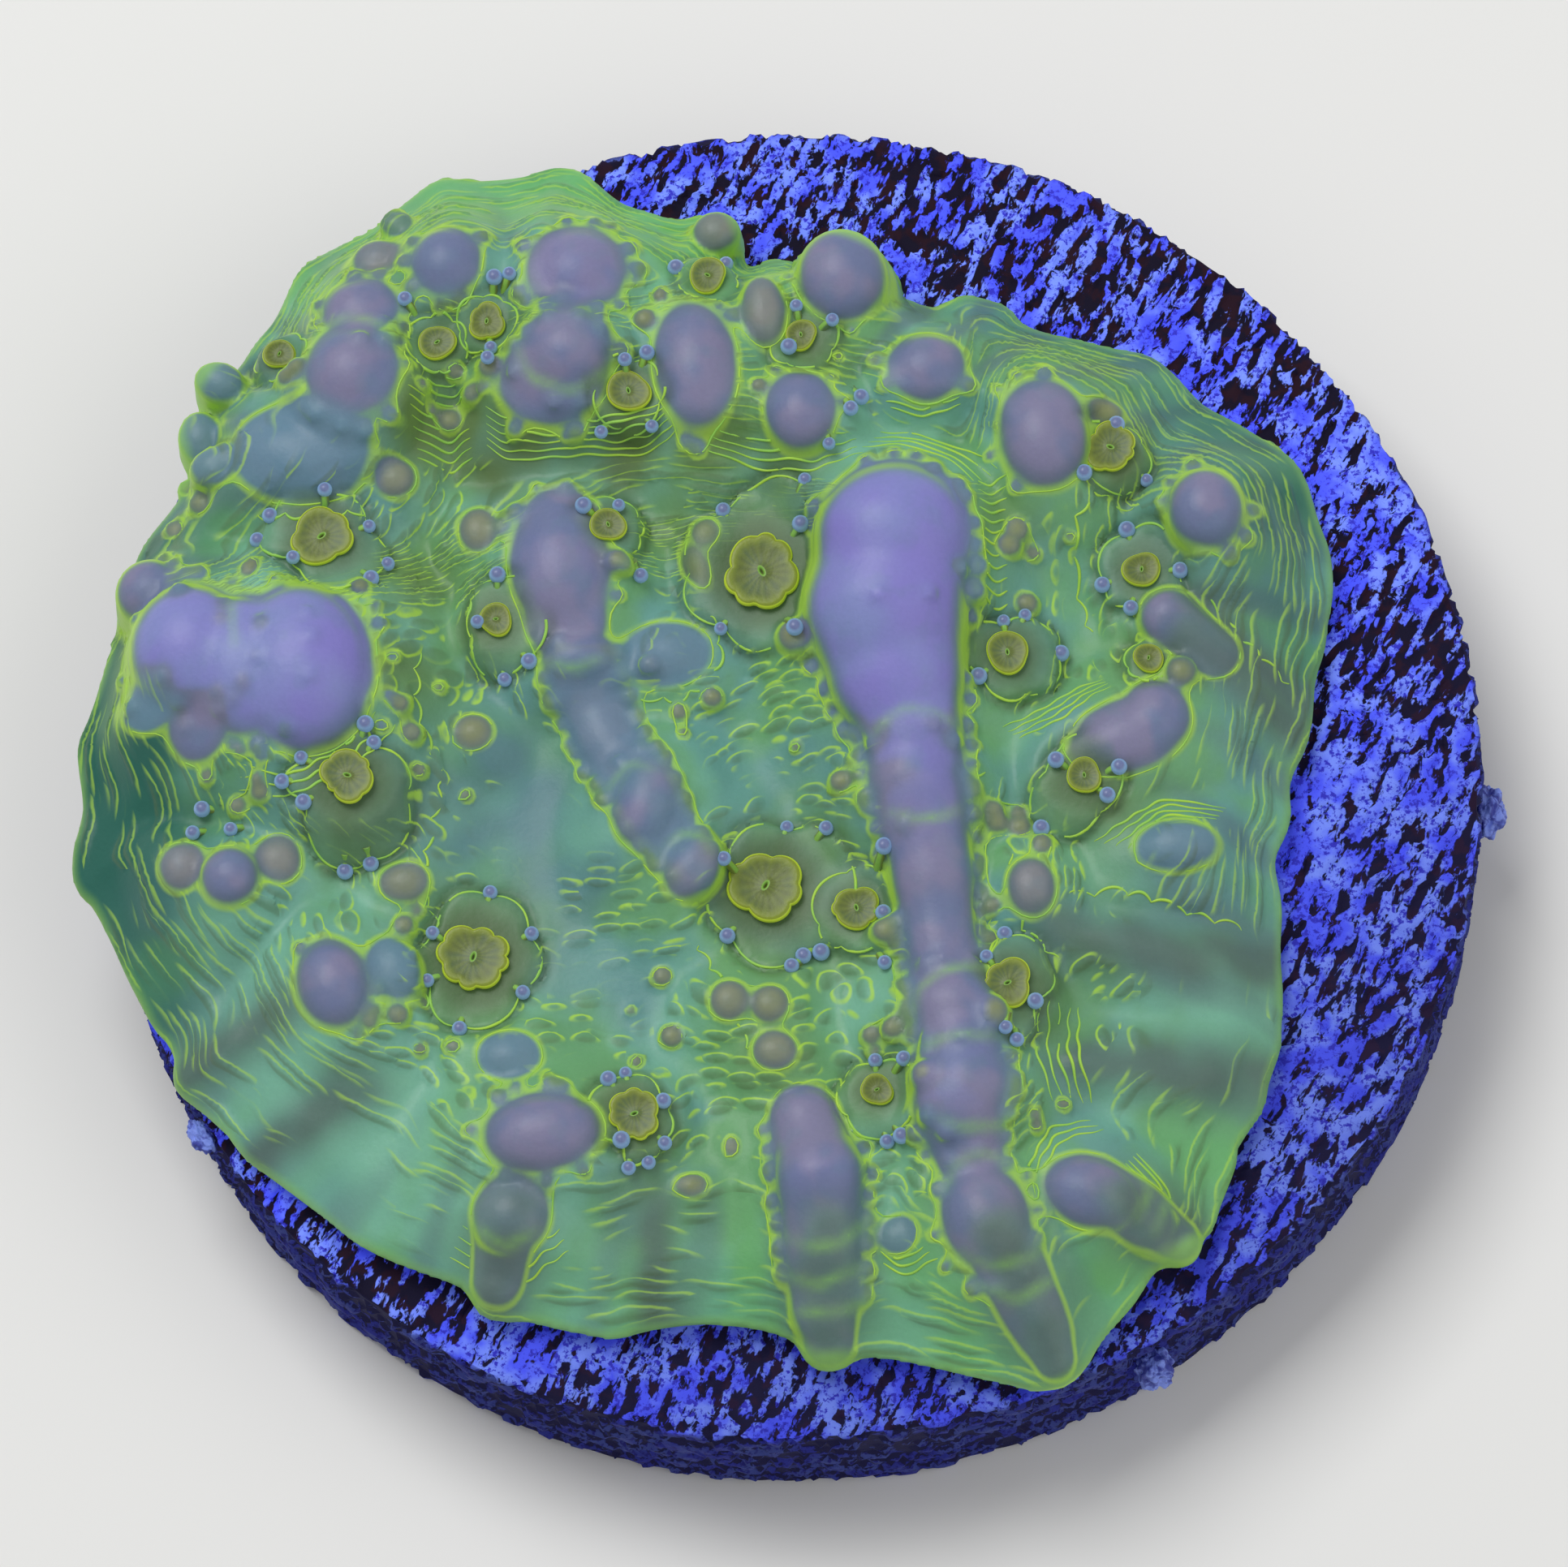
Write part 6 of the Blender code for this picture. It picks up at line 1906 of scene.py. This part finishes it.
def build_speck(name, material):
    """A knobbly crumb of lime, bedded a little into the rim."""
    bearing, height, half_sizes = RIM_SPECKS[name]
    shape = bmesh.new()
    bmesh.ops.create_icosphere(shape, subdivisions=5, radius=1.0)
    points = []
    for vert in shape.verts:
        broad = noise.noise(vert.co * 1.9 + Vector((bearing, 0, 0)))
        points.append(vert.co * (1.0 + 0.30 * broad + 0.16 * noise.noise(vert.co * 5.0)))
    faces = [[v.index for v in f.verts] for f in shape.faces]
    shape.free()
    outward, along, up = (np.array(points) * half_sizes).T
    x, y = turned(outward + DISC_RADIUS + 0.3 * half_sizes[0], along, -math.radians(bearing))
    return mesh_object(name + "_crumb", np.stack([x, y, up + height - DISC_TOP], axis=1), faces, material)


# ---------------------------------------------------------------- making the object


def belongs(piece, slot, *nodes):
    """Every piece rides on the one body and may stand for CAD nodes."""
    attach(piece, "root")
    if nodes:
        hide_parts(*nodes)


def build_colony():
    """The flesh, the polyps on it and the cords laid along its edges and lines."""
    plan = Plan()
    sculpt = sculpt_colony(plan)
    skin = sculpt.skin_height()
    colony = build_skin(plan, sculpt)
    mark_skin(colony, plan, skin)
    belongs(grow_rows(colony, flesh_material()), "coral_flesh", "coral_colony")
    random = np.random.default_rng(SEED)
    belongs(build_oral_discs(plan, skin, random, oral_material()), "coral_flesh")
    belongs(build_tips(plan, skin, tip_material()), "coral_flesh")
    lime = rim_material()
    cords = {
        "cushion_rims": (cup_rim_strands, 8, lime), "hill_rims": (hill_rim_strands, 6, lime),
        "plate_seams": (seam_strands, 6, lime), "growth_festoons": (festoon_strands, 6, lime),
        "tentacle_stalks": (stalk_strands, 10, stalk_material()),
    }
    for name, (strands, sides, material) in cords.items():
        belongs(sweep_strands(name, strands(plan, skin), sides, material), "coral_flesh")


def build_holder():
    """The disc and the crumbs on its rim."""
    belongs(build_disc(disc_material()), "disc_ceramic", "frag_disc")
    calcite = speck_material()
    for name in RIM_SPECKS:
        belongs(build_speck(name, calcite), "rim_calcite", name)


# ---------------------------------------------------------------- stage, light and camera

CAMERA_ELEVATION = math.radians(71.8)
CAMERA_ROLL = math.radians(6.3)
CAMERA_DISTANCE = 12.0 * DISC_RADIUS
CAMERA_LENS = 190.2
VIEW_OFFSET = (-0.19, -0.335)

FLOOR_SIZE = 3.0
FLOOR_GREY = linear(233, 233, 231)
SKY_STRENGTH = 0.36

# Lamps: place and width in metres, power in watts.
LAMPS = {"key": ((-0.10, 0.14, 0.30), 0.20, 0.75), "fill": ((0.22, -0.10, 0.22), 0.30, 0.25)}


def set_stage():
    """A wide pale floor."""
    bpy.ops.mesh.primitive_plane_add(size=FLOOR_SIZE, location=(0.0, 0.0, 0.0))
    floor = bpy.context.object
    floor.name = "floor"
    s = Shades("studio_floor")
    floor.data.materials.append(s.finish(Base_Color=FLOOR_GREY, Roughness=0.8))


def area_light(name, place, size, power):
    """A square lamp that faces the disc."""
    lamp = bpy.data.lights.new(name, "AREA")
    lamp.size = size
    lamp.energy = power
    obj = in_scene(name, lamp)
    obj.location = place
    obj.rotation_euler = (-Vector(place)).to_track_quat("-Z", "Y").to_euler()


def set_lights():
    """A soft white sky and two lamps."""
    world = bpy.data.worlds.new("studio")
    bpy.context.scene.world = world
    world.use_nodes = True
    background = world.node_tree.nodes["Background"]
    background.inputs["Color"].default_value = (1.0, 1.0, 1.0, 1.0)
    background.inputs["Strength"].default_value = SKY_STRENGTH
    for name, lamp in LAMPS.items():
        area_light(name, *lamp)


def set_camera():
    """A long lens that looks steeply down from the south, rolled a little."""
    sight = Vector((0.0, -math.cos(CAMERA_ELEVATION), math.sin(CAMERA_ELEVATION)))
    level = Vector((1.0, 0.0, 0.0))
    upright = sight.cross(level)
    right = level * math.cos(CAMERA_ROLL) - upright * math.sin(CAMERA_ROLL)
    up = level * math.sin(CAMERA_ROLL) + upright * math.cos(CAMERA_ROLL)
    aim = Vector((0.0, 0.0, DISC_TOP)) + right * VIEW_OFFSET[0] + up * VIEW_OFFSET[1]
    lens = bpy.data.cameras.new("camera")
    lens.lens = CAMERA_LENS
    lens.clip_start = 0.01
    camera = in_scene("camera", lens)
    turn = Matrix((right, up, sight)).transposed().to_4x4()
    camera.matrix_world = Matrix.Translation((aim + sight * CAMERA_DISTANCE) * MM) @ turn
    bpy.context.scene.camera = camera


build_colony()
build_holder()
set_stage()
set_lights()
set_camera()
bpy.context.scene.view_settings.view_transform = "Standard"
